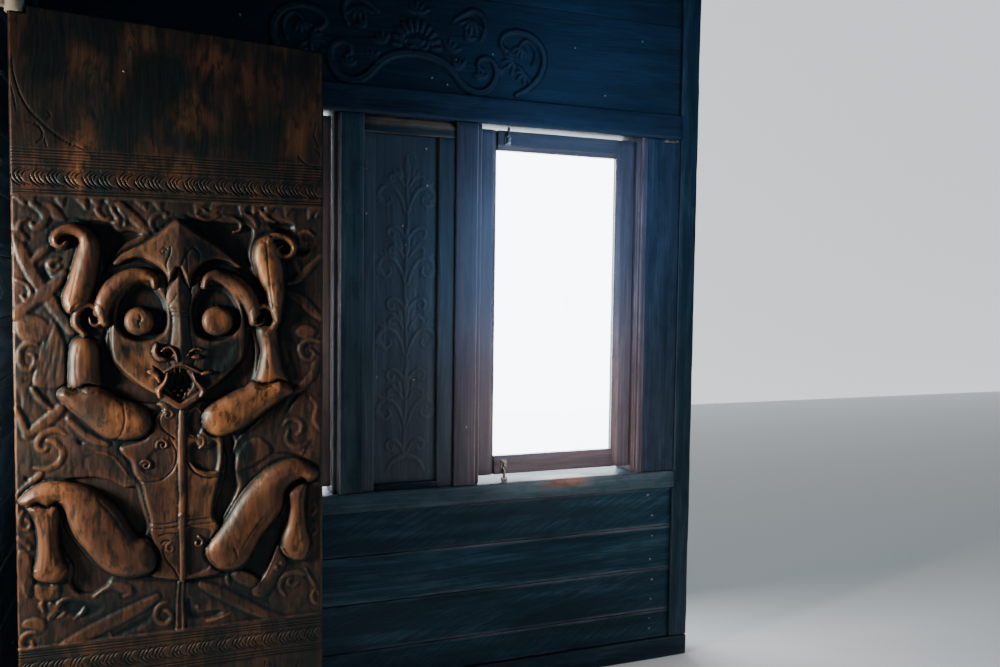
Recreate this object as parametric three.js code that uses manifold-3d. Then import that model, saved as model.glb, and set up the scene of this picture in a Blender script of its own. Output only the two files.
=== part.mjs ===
// One bay of a dark timber window wall, with a carved door leaf that turns on pivots in front of it.
// Millimetres. X runs along the wall, Y from the room out through the wall, Z up from the ground.
// The origin is under the sole beam, at the middle of its length and of its thickness.

import * as THREE from 'three';
import { ParametricGeometry } from 'three/addons/geometries/ParametricGeometry.js';
import { mergeVertices } from 'three/addons/utils/BufferGeometryUtils.js';
import Module from 'manifold-3d';

const wasm = await Module();
wasm.setup();

// Driving dimensions

const halfLength = 1147; // from the middle of the wall to the outer side of a corner post
const beamDepth = [-70, 70]; // posts, sole beam and top plate, through the wall
const railDepth = [-78, 85]; // sill and lintel stand a little proud of the posts
const plankDepth = [-58, -8];
const friezeDepth = [-62, -12];
const endPanelDepth = [-68, -10];
const stileDepth = [-60, -14];
const fieldDepth = [-46, -22];
const sashDepth = [-30, 5];
const glassDepth = [-14, -10];

const soleTop = 80;
const plankJoints = [soleTop, 187, 351, 514, 665]; // the four planks below the windows
const sillTop = 730;
const lintelBottom = 1982;
const lintelTop = 2074;
const friezeTop = 2400;
const plateBottom = 2560;
const plateTop = 2680;

const cornerPostInner = 1071; // X of a corner post's inner side
const innerPost = [185, 285]; // X of the post between the carved panel and a window
const outerPost = [895, 930]; // X of the post on a window's far side
const rebate = { inner: 20, outer: 11, drop: 20 }; // cut along the window side of the posts
const leftShift = 55; // the left window and its posts stand this much closer to the middle

const field = [-91, 127]; // X where the carved panel's stiles end and its field begins
const panelRail = { bottomTop: 753, topBottom: 1925, chamfer: 22 };
const notch = { from: 1001, to: 1061, height: 12 }; // daylight notch in the top of an end panel

const sash = { from: 287, to: 895, bottom: 753, top: 1971 };
const sashStile = { inner: 63, outer: 70 };
const sashBottomRail = 65;
const sashTopRail = 68;
const bolt = { x: 386, plateWidth: 24, rodWidth: 10, plateDepth: 6, rodProud: 14 };
const boltPlate = { low: [768, 806], high: [1920, 1958] }; // Z of the two bolt plates on a sash

const returnBeam = { x: [-1217, -halfLength], y: [-430, 70] };
const returnWall = { x: [-1197, -halfLength], y: [-340, 70] };
const hingePost = { x: [-1217, -halfLength], y: [-430, -340] };

const leaf = {
  hingeEdge: -1095,
  freeEdge: -324,
  bottom: 28,
  hingeTop: 2104, // the top edge slopes down to the free side
  freeTop: 2064,
  back: -392,
  ground: -425, // Y of the sunk ground between the carved forms
  plain: -437, // Y of the plain wood above and below the carving
  carvedFrom: 480,
  carvedTo: 1640,
};
const pivot = { x: -1081, y: -418, pinRadius: 13, boreRadius: 14, eyeRadius: 22 };
const pivotNotch = { to: -1053, bottom: 2082 };
const topEye = { bottom: 2083, top: 2150, pinTop: 2142 };
const topArm = { y: [-430, -404], z: [2095, 2145], to: -1097 };
const bottomBlock = { x: [-halfLength, -1050], y: [-460, -380], top: 22, pinBottom: 4 };
const roundSides = 20;

// Finishes

const darkTimber = { color: 0x14161b, roughness: 0.62, metalness: 0 };
const frameTimber = { color: 0x241a17, roughness: 0.55, metalness: 0 };
const carvedTimber = { color: 0x4a2a1b, roughness: 0.5, metalness: 0 };
const paleTimber = { color: 0xa08a6c, roughness: 0.8, metalness: 0 };
const pane = { color: 0xe8f2f5, roughness: 0.05, metalness: 0, transparent: true, opacity: 0.25 };
const agedIron = { color: 0x55524e, roughness: 0.45, metalness: 0.9 };

const wallBay = new THREE.Group();

function addPiece(name, geometry, finish) {
  const mesh = new THREE.Mesh(geometry, new THREE.MeshStandardMaterial(finish));
  mesh.name = name;
  wallBay.add(mesh);
}

// Shape helpers

const onWall = new THREE.Matrix4().set(1, 0, 0, 0, 0, 0, -1, 0, 0, 1, 0, 0, 0, 0, 0, 1);
const alongX = new THREE.Matrix4().set(0, 0, 1, 0, 1, 0, 0, 0, 0, 1, 0, 0, 0, 0, 0, 1);

function slab([x0, x1], [y0, y1], [z0, z1]) {
  const geometry = new THREE.BoxGeometry(x1 - x0, y1 - y0, z1 - z0);
  return geometry.translate((x0 + x1) / 2, (y0 + y1) / 2, (z0 + z1) / 2);
}

function extrude(outline, depth) {
  const shape = new THREE.Shape(outline.map(([a, b]) => new THREE.Vector2(a, b)));
  return new THREE.ExtrudeGeometry(shape, { depth, bevelEnabled: false });
}

// An outline in X and Z, with its thickness through the wall.
function wallPrism(outline, [front, back]) {
  return extrude(outline, back - front).applyMatrix4(onWall).translate(0, back, 0);
}

// An outline in X and Y that stands up from one level to another.
function standing(outline, [z0, z1]) {
  return extrude(outline, z1 - z0).translate(0, 0, z0);
}

// A section in Y and Z that runs along the wall.
function running(section, [x0, x1]) {
  return extrude(section, x1 - x0).applyMatrix4(alongX).translate(x0, 0, 0);
}

function upright(radius, [z0, z1], x, y) {
  const geometry = new THREE.CylinderGeometry(radius, radius, z1 - z0, roundSides);
  return geometry.rotateX(Math.PI / 2).translate(x, y, (z0 + z1) / 2);
}

function mirrored(outline, shift = 0) {
  return outline.map(([x, other]) => [shift - x, other]).reverse();
}

// Joining and cutting

function toSolid(geometry) {
  const bare = geometry.clone();
  bare.deleteAttribute('normal');
  bare.deleteAttribute('uv');
  const merged = mergeVertices(bare, 1e-3);
  const corners = merged.index.array;
  const kept = [];
  for (let i = 0; i < corners.length; i += 3) {
    const [a, b, c] = corners.subarray(i, i + 3);
    if (a !== b && b !== c && c !== a) kept.push(a, b, c);
  }
  return new wasm.Manifold(new wasm.Mesh({
    numProp: 3,
    vertProperties: merged.attributes.position.array,
    triVerts: new Uint32Array(kept),
  }));
}

function toGeometry(body) {
  const { vertProperties, triVerts } = body.getMesh();
  const geometry = new THREE.BufferGeometry();
  geometry.setAttribute('position', new THREE.BufferAttribute(vertProperties, 3));
  geometry.setIndex(new THREE.BufferAttribute(triVerts, 1));
  geometry.computeVertexNormals();
  return geometry;
}

function joined(first, ...others) {
  return others.reduce((body, geometry) => body.add(toSolid(geometry)), toSolid(first));
}

// Carved forms

// A rounded ridge along a curve. Each point of the path is [x, z, half width].
function ridge(path, surface, proud, stacks = 12) {
  const slices = 10;
  const buried = 8;
  const endBluntness = 10;
  const spine = new THREE.CatmullRomCurve3(path.map(([x, z, half]) => new THREE.Vector3(x, z, half)));
  const place = new THREE.Vector3();
  const heading = new THREE.Vector3();
  const wind = (u, v, target) => {
    const run = Math.cos(Math.PI * v); // rings lie closer together near the rounded ends
    spine.getPoint((1 - run) / 2, place);
    spine.getTangent((1 - run) / 2, heading).setZ(0).normalize();
    const swell = Math.sqrt(1 - Math.abs(run) ** endBluntness);
    const across = Math.cos(2 * Math.PI * u) * place.z * swell;
    const lift = Math.sin(2 * Math.PI * u) * swell;
    target.set(
      place.x - heading.y * across,
      surface - lift * (lift > 0 ? proud : buried),
      place.y + heading.x * across,
    );
  };
  return new ParametricGeometry(wind, slices, stacks);
}

// A flat form with a rounded rim, drawn through points in X and Z.
function plate(points, surface, proud, rim) {
  const buried = 10;
  const shape = new THREE.Shape();
  shape.moveTo(...points[0]);
  shape.splineThru([...points.slice(1), points[0]].map(([x, z]) => new THREE.Vector2(x, z)));
  const form = new THREE.ExtrudeGeometry(shape, {
    depth: proud + buried - 2 * rim,
    curveSegments: 2,
    bevelSize: rim,
    bevelThickness: rim,
    bevelOffset: -rim,
    bevelSegments: 1,
  });
  return form.applyMatrix4(onWall).translate(0, surface + buried - rim, 0);
}

// A flattened ball, with its middle a little in front of the surface.
function dome([x, z], radius, surface, proud) {
  const stand = 8;
  const ball = new THREE.SphereGeometry(radius, 16, 12);
  return ball.scale(1, (proud - stand) / radius, 1).translate(x, surface - stand, z);
}

// Main beams, planks and rails of the wall

const between = [-cornerPostInner, cornerPostInner];

addPiece('sole_beam', slab([-halfLength, halfLength], beamDepth, [0, soleTop]), darkTimber);
addPiece('top_plate', slab([-halfLength, halfLength], beamDepth, [plateBottom, plateTop]), darkTimber);

for (let i = 1; i < plankJoints.length; i += 1) {
  addPiece(`wall_plank_${i}`, slab(between, plankDepth, [plankJoints[i - 1], plankJoints[i]]), darkTimber);
}
addPiece(`wall_plank_${plankJoints.length}`, slab(between, plankDepth, [friezeTop, plateBottom]), darkTimber);

const arris = 6; // the worn front edges of sill and lintel

function railSection(bottom, top) {
  const [front, back] = railDepth;
  return [
    [front, bottom + arris],
    [front + arris, bottom],
    [back, bottom],
    [back, top],
    [front + arris, top],
    [front, top - arris],
  ];
}

addPiece('sill_rail', running(railSection(plankJoints.at(-1), sillTop), between), darkTimber);
addPiece('lintel_rail', running(railSection(lintelBottom, lintelTop), between), darkTimber);

// Posts and panels on both sides of the middle

const sides = [
  {
    side: 'left',
    turn: (outline) => mirrored(outline, leftShift),
    span: ([a, b]) => [leftShift - b, leftShift - a],
    far: ([a, b]) => [-b, -a],
    endPanelFrom: outerPost[1] - leftShift,
  },
  { side: 'right', turn: (outline) => outline, span: (range) => range, far: (range) => range, endPanelFrom: outerPost[1] },
];

function innerPostOutline() {
  const [x0, x1] = innerPost;
  const [front, back] = beamDepth;
  return [
    [x0, front],
    [x1 - rebate.inner, front],
    [x1 - rebate.inner, front + rebate.drop],
    [x1, front + rebate.drop],
    [x1, back],
    [x0, back],
  ];
}

function outerPostOutline() {
  const [x0, x1] = outerPost;
  const [front, back] = beamDepth;
  return [
    [x0, front + rebate.drop],
    [x0 + rebate.outer, front + rebate.drop],
    [x0 + rebate.outer, front],
    [x1, front],
    [x1, back],
    [x0, back],
  ];
}

function endPanelOutline(from) {
  const to = cornerPostInner;
  const notchBottom = lintelBottom - notch.height;
  return [
    [from, sillTop],
    [to, sillTop],
    [to, lintelBottom],
    [notch.to, lintelBottom],
    [notch.to, notchBottom],
    [notch.from, notchBottom],
    [notch.from, lintelBottom],
    [from, lintelBottom],
  ];
}

const lightHeight = [sillTop, lintelBottom];
const panelSpan = [leftShift - innerPost[0], innerPost[0]]; // X between the posts beside the carved panel

for (const { side, turn, span, far, endPanelFrom } of sides) {
  addPiece(`corner_post_${side}`,
    slab(far([cornerPostInner, halfLength]), beamDepth, [soleTop, plateBottom]), darkTimber);
  addPiece(`inner_post_${side}`, standing(turn(innerPostOutline()), lightHeight), frameTimber);
  addPiece(`outer_post_${side}`, standing(turn(outerPostOutline()), lightHeight), frameTimber);
  const endPanel = endPanelOutline(endPanelFrom);
  addPiece(`end_panel_${side}`,
    wallPrism(side === 'left' ? mirrored(endPanel) : endPanel, endPanelDepth), darkTimber);
  const stile = side === 'left' ? [panelSpan[0], field[0]] : [field[1], panelSpan[1]];
  addPiece(`panel_stile_${side}`, slab(stile, stileDepth, [sillTop, panelRail.topBottom]), darkTimber);
}

// The fixed carved panel between the windows

const { bottomTop, topBottom, chamfer } = panelRail;

addPiece('panel_field', slab(field, fieldDepth, [bottomTop, topBottom]), darkTimber);
addPiece('panel_bottom_rail', slab(field, stileDepth, [sillTop, bottomTop]), darkTimber);
addPiece('panel_top_rail', running([
  [stileDepth[0], topBottom],
  [stileDepth[1], topBottom],
  [stileDepth[1], lintelBottom],
  [stileDepth[0] + chamfer, lintelBottom],
  [stileDepth[0], lintelBottom - chamfer],
], panelSpan), darkTimber);

// Carved boards above the lintel

const friezeMiddle = 42; // the carver set the scroll a little off the middle
const friezeSurface = friezeDepth[0];
const scrollProud = 7;

const halfSwanNeck = [
  [0, 2194, 12],
  [90, 2175, 13],
  [128, 2146, 13],
  [158, 2112, 13],
  [188, 2094, 13],
  [222, 2090, 13],
  [256, 2100, 13],
  [280, 2128, 13],
  [286, 2162, 12],
  [274, 2192, 10],
  [248, 2204, 9],
  [224, 2196, 8],
];
const sideScroll = [
  [312, 2288, 9],
  [350, 2304, 10],
  [394, 2302, 11],
  [434, 2282, 12],
  [458, 2250, 12],
  [464, 2212, 12],
  [454, 2175, 12],
  [432, 2140, 12],
  [398, 2110, 11],
  [360, 2090, 8],
];
const crownLeaf = [
  [-84, 2208],
  [-62, 2252],
  [-20, 2288],
  [20, 2288],
  [62, 2252],
  [84, 2208],
];

function scrollPair(path, stacks) {
  return [1, -1].map((hand) => ridge(
    path.map(([x, z, half]) => [friezeMiddle + hand * x, z, half]),
    friezeSurface, scrollProud, stacks,
  ));
}

addPiece('frieze_board', toGeometry(joined(
  slab(between, friezeDepth, [lintelTop, friezeTop]),
  ...scrollPair(halfSwanNeck, 20),
  ...scrollPair(sideScroll, 18),
  plate(crownLeaf.map(([x, z]) => [friezeMiddle + x, z]), friezeSurface, scrollProud, 5),
)), darkTimber);

// Window sashes

function boltShape(span, [z0, z1], reach) {
  const { x, plateWidth, rodWidth, plateDepth, rodProud } = bolt;
  const front = sashDepth[0];
  const halfPlate = plateWidth / 2;
  const halfRod = rodWidth / 2;
  const rod = reach < z0 ? [reach, z1 - halfRod] : [z0 + halfRod, reach];
  return toGeometry(joined(
    slab(span([x - halfPlate, x + halfPlate]), [front - plateDepth, front], [z0, z1]),
    slab(span([x - halfRod, x + halfRod]), [front - rodProud, front - plateDepth / 2], rod),
  ));
}

for (const { side, span } of sides) {
  const { from, to, bottom, top } = sash;
  const name = `window_${side}`;
  const opening = [from + sashStile.inner, to - sashStile.outer];
  const glassFrom = bottom + sashBottomRail;
  const glassTo = top - sashTopRail;
  addPiece(`${name}_inner_stile`, slab(span([from, opening[0]]), sashDepth, [bottom, top]), frameTimber);
  addPiece(`${name}_outer_stile`, slab(span([opening[1], to]), sashDepth, [bottom, top]), frameTimber);
  addPiece(`${name}_bottom_rail`, slab(span(opening), sashDepth, [bottom, glassFrom]), frameTimber);
  addPiece(`${name}_top_rail`, slab(span(opening), sashDepth, [glassTo, top]), frameTimber);
  addPiece(`${name}_glass`, slab(span(opening), glassDepth, [glassFrom, glassTo]), pane);
  addPiece(`${name}_bolt_low`, boltShape(span, boltPlate.low, sillTop), agedIron);
  addPiece(`${name}_bolt_high`, boltShape(span, boltPlate.high, lintelBottom), agedIron);
}

// The side wall that carries the door leaf

addPiece('return_sole_beam', slab(returnBeam.x, returnBeam.y, [0, soleTop]), darkTimber);
addPiece('return_top_plate', slab(returnBeam.x, returnBeam.y, [plateBottom, plateTop]), darkTimber);
addPiece('return_wall', slab(returnWall.x, returnWall.y, [soleTop, plateBottom]), darkTimber);
addPiece('hinge_post', slab(hingePost.x, hingePost.y, [soleTop, plateBottom]), darkTimber);

function bore([z0, z1]) {
  return toSolid(upright(pivot.boreRadius, [z0 - 1, z1 + 1], pivot.x, pivot.y));
}

addPiece('top_pivot_eye', toGeometry(joined(
  upright(pivot.eyeRadius, [topEye.bottom, topEye.top], pivot.x, pivot.y),
  slab([-halfLength, topArm.to], topArm.y, topArm.z),
).subtract(bore([topEye.bottom, topEye.top]))), paleTimber);

addPiece('bottom_pivot_block', toGeometry(joined(
  slab(bottomBlock.x, bottomBlock.y, [0, bottomBlock.top]),
).subtract(bore([0, bottomBlock.top]))), darkTimber);

// The carved door leaf

const leafWidth = [leaf.hingeEdge, leaf.freeEdge];
const leafSlope = (leaf.hingeTop - leaf.freeTop) / (leaf.freeEdge - leaf.hingeEdge);
const notchedTop = leaf.hingeTop - leafSlope * (pivotNotch.to - leaf.hingeEdge);

function leafOutline(from) {
  return [
    [leaf.hingeEdge, from],
    [leaf.freeEdge, from],
    [leaf.freeEdge, leaf.freeTop],
    [pivotNotch.to, notchedTop],
    [pivotNotch.to, pivotNotch.bottom],
    [leaf.hingeEdge, pivotNotch.bottom],
  ];
}

// The squatting guardian figure, from the crown of its head down. The carver's two sides differ a little.
const headRim = [
  [-703, 1590], [-655, 1560], [-600, 1520], [-548, 1470], [-516, 1405], [-508, 1330], [-512, 1260],
  [-506, 1200], [-530, 1146], [-580, 1118], [-640, 1108], [-703, 1096], [-762, 1106], [-822, 1134],
  [-872, 1190], [-886, 1260], [-888, 1340], [-884, 1410], [-856, 1476], [-806, 1520], [-752, 1556],
];
const torsoRim = [
  [-756, 1086], [-792, 1016], [-850, 992], [-826, 920], [-802, 850], [-784, 768], [-786, 700],
  [-762, 628], [-640, 628], [-616, 700], [-604, 764], [-614, 810], [-604, 900], [-592, 990], [-652, 1086],
];
const eyes = [[-799, 1321], [-609, 1323]];

const ridges = {
  leftHorn: [[-942, 1340, 40], [-940, 1410, 38], [-928, 1470, 33], [-918, 1520, 28], [-936, 1552, 22],
    [-968, 1558, 18], [-994, 1540, 15], [-994, 1514, 13], [-974, 1508, 10]],
  rightHorn: [[-455, 1340, 32], [-458, 1400, 33], [-474, 1460, 34], [-486, 1508, 29], [-472, 1536, 20],
    [-442, 1542, 15], [-416, 1526, 13], [-416, 1498, 12], [-440, 1490, 10]],
  leftBrow: [[-892, 1352, 20], [-870, 1396, 23], [-838, 1430, 22], [-800, 1448, 18], [-770, 1440, 15],
    [-762, 1412, 10]],
  rightBrow: [[-500, 1386, 16], [-534, 1422, 19], [-578, 1448, 18], [-614, 1454, 16], [-640, 1442, 14],
    [-642, 1414, 10]],
  nose: [[-703, 1580, 12], [-704, 1470, 14], [-704, 1380, 17], [-703, 1290, 20], [-703, 1216, 26]],
  leftNostril: [[-716, 1236, 12], [-736, 1252, 11], [-756, 1242, 10], [-758, 1222, 9]],
  rightNostril: [[-690, 1236, 12], [-670, 1252, 11], [-652, 1242, 10], [-650, 1222, 9]],
  upperLip: [[-778, 1196, 10], [-742, 1190, 13], [-703, 1202, 13], [-664, 1190, 13], [-628, 1196, 10]],
  lowerLip: [[-752, 1150, 10], [-730, 1120, 13], [-703, 1104, 15], [-676, 1120, 13], [-654, 1150, 10]],
  leftCheek: [[-912, 1362, 12], [-944, 1344, 13], [-944, 1312, 12], [-914, 1304, 11], [-896, 1324, 9]],
  rightCheek: [[-492, 1362, 12], [-460, 1346, 13], [-460, 1314, 12], [-488, 1304, 11], [-506, 1324, 9]],
  leftForearm: [[-934, 1286, 36], [-936, 1230, 39], [-938, 1180, 38], [-940, 1136, 34]],
  rightForearm: [[-480, 1290, 22], [-474, 1240, 30], [-470, 1185, 38], [-466, 1136, 38]],
  leftUpperArm: [[-992, 1124, 22], [-940, 1108, 42], [-880, 1076, 52], [-820, 1046, 52], [-776, 1040, 36]],
  rightUpperArm: [[-418, 1130, 20], [-468, 1112, 36], [-530, 1082, 46], [-588, 1052, 48], [-632, 1044, 34]],
  spine: [[-700, 1094, 10], [-700, 940, 10], [-700, 780, 9], [-700, 636, 8]],
  belt: [[-776, 768, 12], [-700, 762, 13], [-614, 768, 12]],
  leftThigh: [[-1072, 878, 30], [-1010, 868, 44], [-940, 812, 58], [-880, 740, 66], [-812, 696, 56]],
  rightThigh: [[-366, 892, 28], [-420, 882, 42], [-490, 826, 54], [-548, 744, 58], [-606, 690, 46]],
  leftShin: [[-1018, 862, 36], [-1016, 790, 30], [-1018, 720, 32], [-1016, 652, 36]],
  rightShin: [[-392, 870, 32], [-392, 790, 28], [-396, 720, 32], [-400, 656, 34]],
};
const heights = {
  leftHorn: 32, rightHorn: 32, leftBrow: 32, rightBrow: 32, nose: 36, leftNostril: 30, rightNostril: 30,
  upperLip: 30, lowerLip: 30, leftCheek: 24, rightCheek: 24, leftForearm: 34, rightForearm: 34,
  leftUpperArm: 34, rightUpperArm: 34, spine: 22, belt: 20, leftThigh: 36, rightThigh: 36,
  leftShin: 32, rightShin: 32,
};
const headProud = 16;
const torsoProud = 13;
const eyeRadius = 41;
const eyeProud = 36;

const carvings = Object.entries(ridges).map(([name, path]) => ridge(path, leaf.ground, heights[name]));

addPiece('door_leaf', toGeometry(joined(
  wallPrism(leafOutline(leaf.bottom), [leaf.ground, leaf.back]),
  wallPrism(leafOutline(leaf.carvedTo), [leaf.plain, leaf.ground + 1]),
  slab(leafWidth, [leaf.plain, leaf.ground + 1], [leaf.bottom, leaf.carvedFrom]),
  upright(pivot.pinRadius, [pivotNotch.bottom - 10, topEye.pinTop], pivot.x, pivot.y),
  upright(pivot.pinRadius, [bottomBlock.pinBottom, leaf.bottom + 10], pivot.x, pivot.y),
  plate(headRim, leaf.ground, headProud, 7),
  plate(torsoRim, leaf.ground, torsoProud, 6),
  ...eyes.map((eye) => dome(eye, eyeRadius, leaf.ground, eyeProud)),
  ...carvings,
)), carvedTimber);

export default wallBay;
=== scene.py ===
import math
import bpy
import numpy as np
from mathutils import Matrix, Vector


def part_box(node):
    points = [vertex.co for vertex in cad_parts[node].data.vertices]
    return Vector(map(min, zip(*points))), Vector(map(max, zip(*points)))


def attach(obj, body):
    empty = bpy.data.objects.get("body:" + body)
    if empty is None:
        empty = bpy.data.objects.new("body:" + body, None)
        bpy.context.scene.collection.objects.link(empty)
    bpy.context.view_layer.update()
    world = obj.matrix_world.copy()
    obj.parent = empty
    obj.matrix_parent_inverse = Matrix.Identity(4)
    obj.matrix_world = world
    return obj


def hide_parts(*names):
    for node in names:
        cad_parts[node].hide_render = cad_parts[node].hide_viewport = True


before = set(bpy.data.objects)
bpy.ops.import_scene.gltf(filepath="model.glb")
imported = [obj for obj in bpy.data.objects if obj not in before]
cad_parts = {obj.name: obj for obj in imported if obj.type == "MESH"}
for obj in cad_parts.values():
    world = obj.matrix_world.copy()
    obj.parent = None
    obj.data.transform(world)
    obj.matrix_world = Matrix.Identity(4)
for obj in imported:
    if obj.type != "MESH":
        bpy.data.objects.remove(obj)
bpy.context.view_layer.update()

mm = 0.001
print("frame loaded,", len(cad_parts), "solids")


# small maths shared by all the carved and hewn pieces

def inMm(corners):
    return [np.array(corner) / mm for corner in corners]


def smoothStep(t):
    t = np.clip(t, 0.0, 1.0)
    return t * t * (3.0 - 2.0 * t)


def latticeNoise(u, v, seed):
    # smooth random values from -1 to 1 on a square lattice
    cells = 128
    table = np.random.default_rng(seed).uniform(-1.0, 1.0, (cells, cells))
    iu = np.floor(u).astype(int)
    iv = np.floor(v).astype(int)
    fu = smoothStep(u - iu)
    fv = smoothStep(v - iv)
    a = table[iu % cells, iv % cells]
    b = table[(iu + 1) % cells, iv % cells]
    c = table[iu % cells, (iv + 1) % cells]
    d = table[(iu + 1) % cells, (iv + 1) % cells]
    return (a * (1 - fu) + b * fu) * (1 - fv) + (c * (1 - fu) + d * fu) * fv


def boxBlur(values, cells):
    for axis in (0, 1):
        pad = [(0, 0), (0, 0)]
        pad[axis] = (cells + 1, cells)
        summed = np.cumsum(np.pad(values, pad, mode="edge"), axis=axis)
        size = 2 * cells + 1
        low = np.take(summed, range(0, values.shape[axis]), axis=axis)
        high = np.take(summed, range(size, size + values.shape[axis]), axis=axis)
        values = (high - low) / size
    return values


def smoothPath(points, spacing=4.0, closed=False):
    # a curve through the points; each point may carry a half width as its third number
    p = np.array(points, float)
    if closed:
        p = np.vstack([p[-1:], p, p[:2]])
    else:
        p = np.vstack([2 * p[0] - p[1], p, 2 * p[-1] - p[-2]])
    parts = []
    for i in range(1, len(p) - 2):
        a, b, c, d = p[i - 1], p[i], p[i + 1], p[i + 2]
        count = max(2, int(math.hypot(*(c - b)[:2]) / spacing))
        t = (np.arange(count) / count)[:, None]
        parts.append(0.5 * (2 * b + (c - a) * t + (2 * a - 5 * b + 4 * c - d) * t ** 2
                            + (3 * b - a - 3 * c + d) * t ** 3))
    if not closed:
        parts.append(p[-2:-1])
    return np.vstack(parts)


# finishes

def inputOf(node, name, value):
    node.inputs[name].default_value = value


def startFinish(name):
    # an empty material, with helpers that add, link and set its nodes
    material = bpy.data.materials.new(name)
    material.use_nodes = True
    tree = material.node_tree
    tree.nodes.clear()
    link = tree.links.new

    def add(kind, **settings):
        node = tree.nodes.new(kind)
        for key, value in settings.items():
            setattr(node, key, value)
        return node

    def ramp(source, stops):
        node = add("ShaderNodeValToRGB")
        for element, (position, colour) in zip(node.color_ramp.elements, (stops[0], stops[-1])):
            element.position = position
            element.color = (*colour, 1)
        for position, colour in stops[1:-1]:
            node.color_ramp.elements.new(position).color = (*colour, 1)
        link(source, node.inputs["Fac"])
        return node.outputs["Color"]

    def bump(source, strength, distance):
        node = add("ShaderNodeBump")
        inputOf(node, "Strength", strength)
        inputOf(node, "Distance", distance)
        link(source, node.inputs["Height"])
        return node.outputs["Normal"]

    shader = add("ShaderNodeBsdfPrincipled")
    link(shader.outputs["BSDF"], add("ShaderNodeOutputMaterial").inputs["Surface"])
    return material, add, link, ramp, bump, shader


timberMix = {
    "grainShare": 0.62, "streakShare": 0.38, "bodyAt": (0.34, 0.5, 0.66), "stainAt": (0.42, 0.62),
    "spotAt": (0.50, 0.61), "shadeAndDirtAt": (0.28, 0.5), "edgeHighlightAt": (0.52, 0.85), "warmthAt": (0.40, 0.58),
    "warmthScale": 6.5, "boardShift": (3.1, 5.3, 4.7), "shiftScale": 1.7, "firstBoard": (0.72, 0.74, 0.8),
    "lastBoard": (1.25, 1.2, 1.12), "stainHides": 0.4, "figureShows": 1.7, "shineFollows": 1.6,
    "slantSpread": 0.75, "slantStretch": (30.0, 1.0, 1.0), "streakRough": 0.35, "stainRough": 0.08,
    "streakBump": 0.7, "grainBump": 0.5, "bumpDepth": 0.0016,
}


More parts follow.
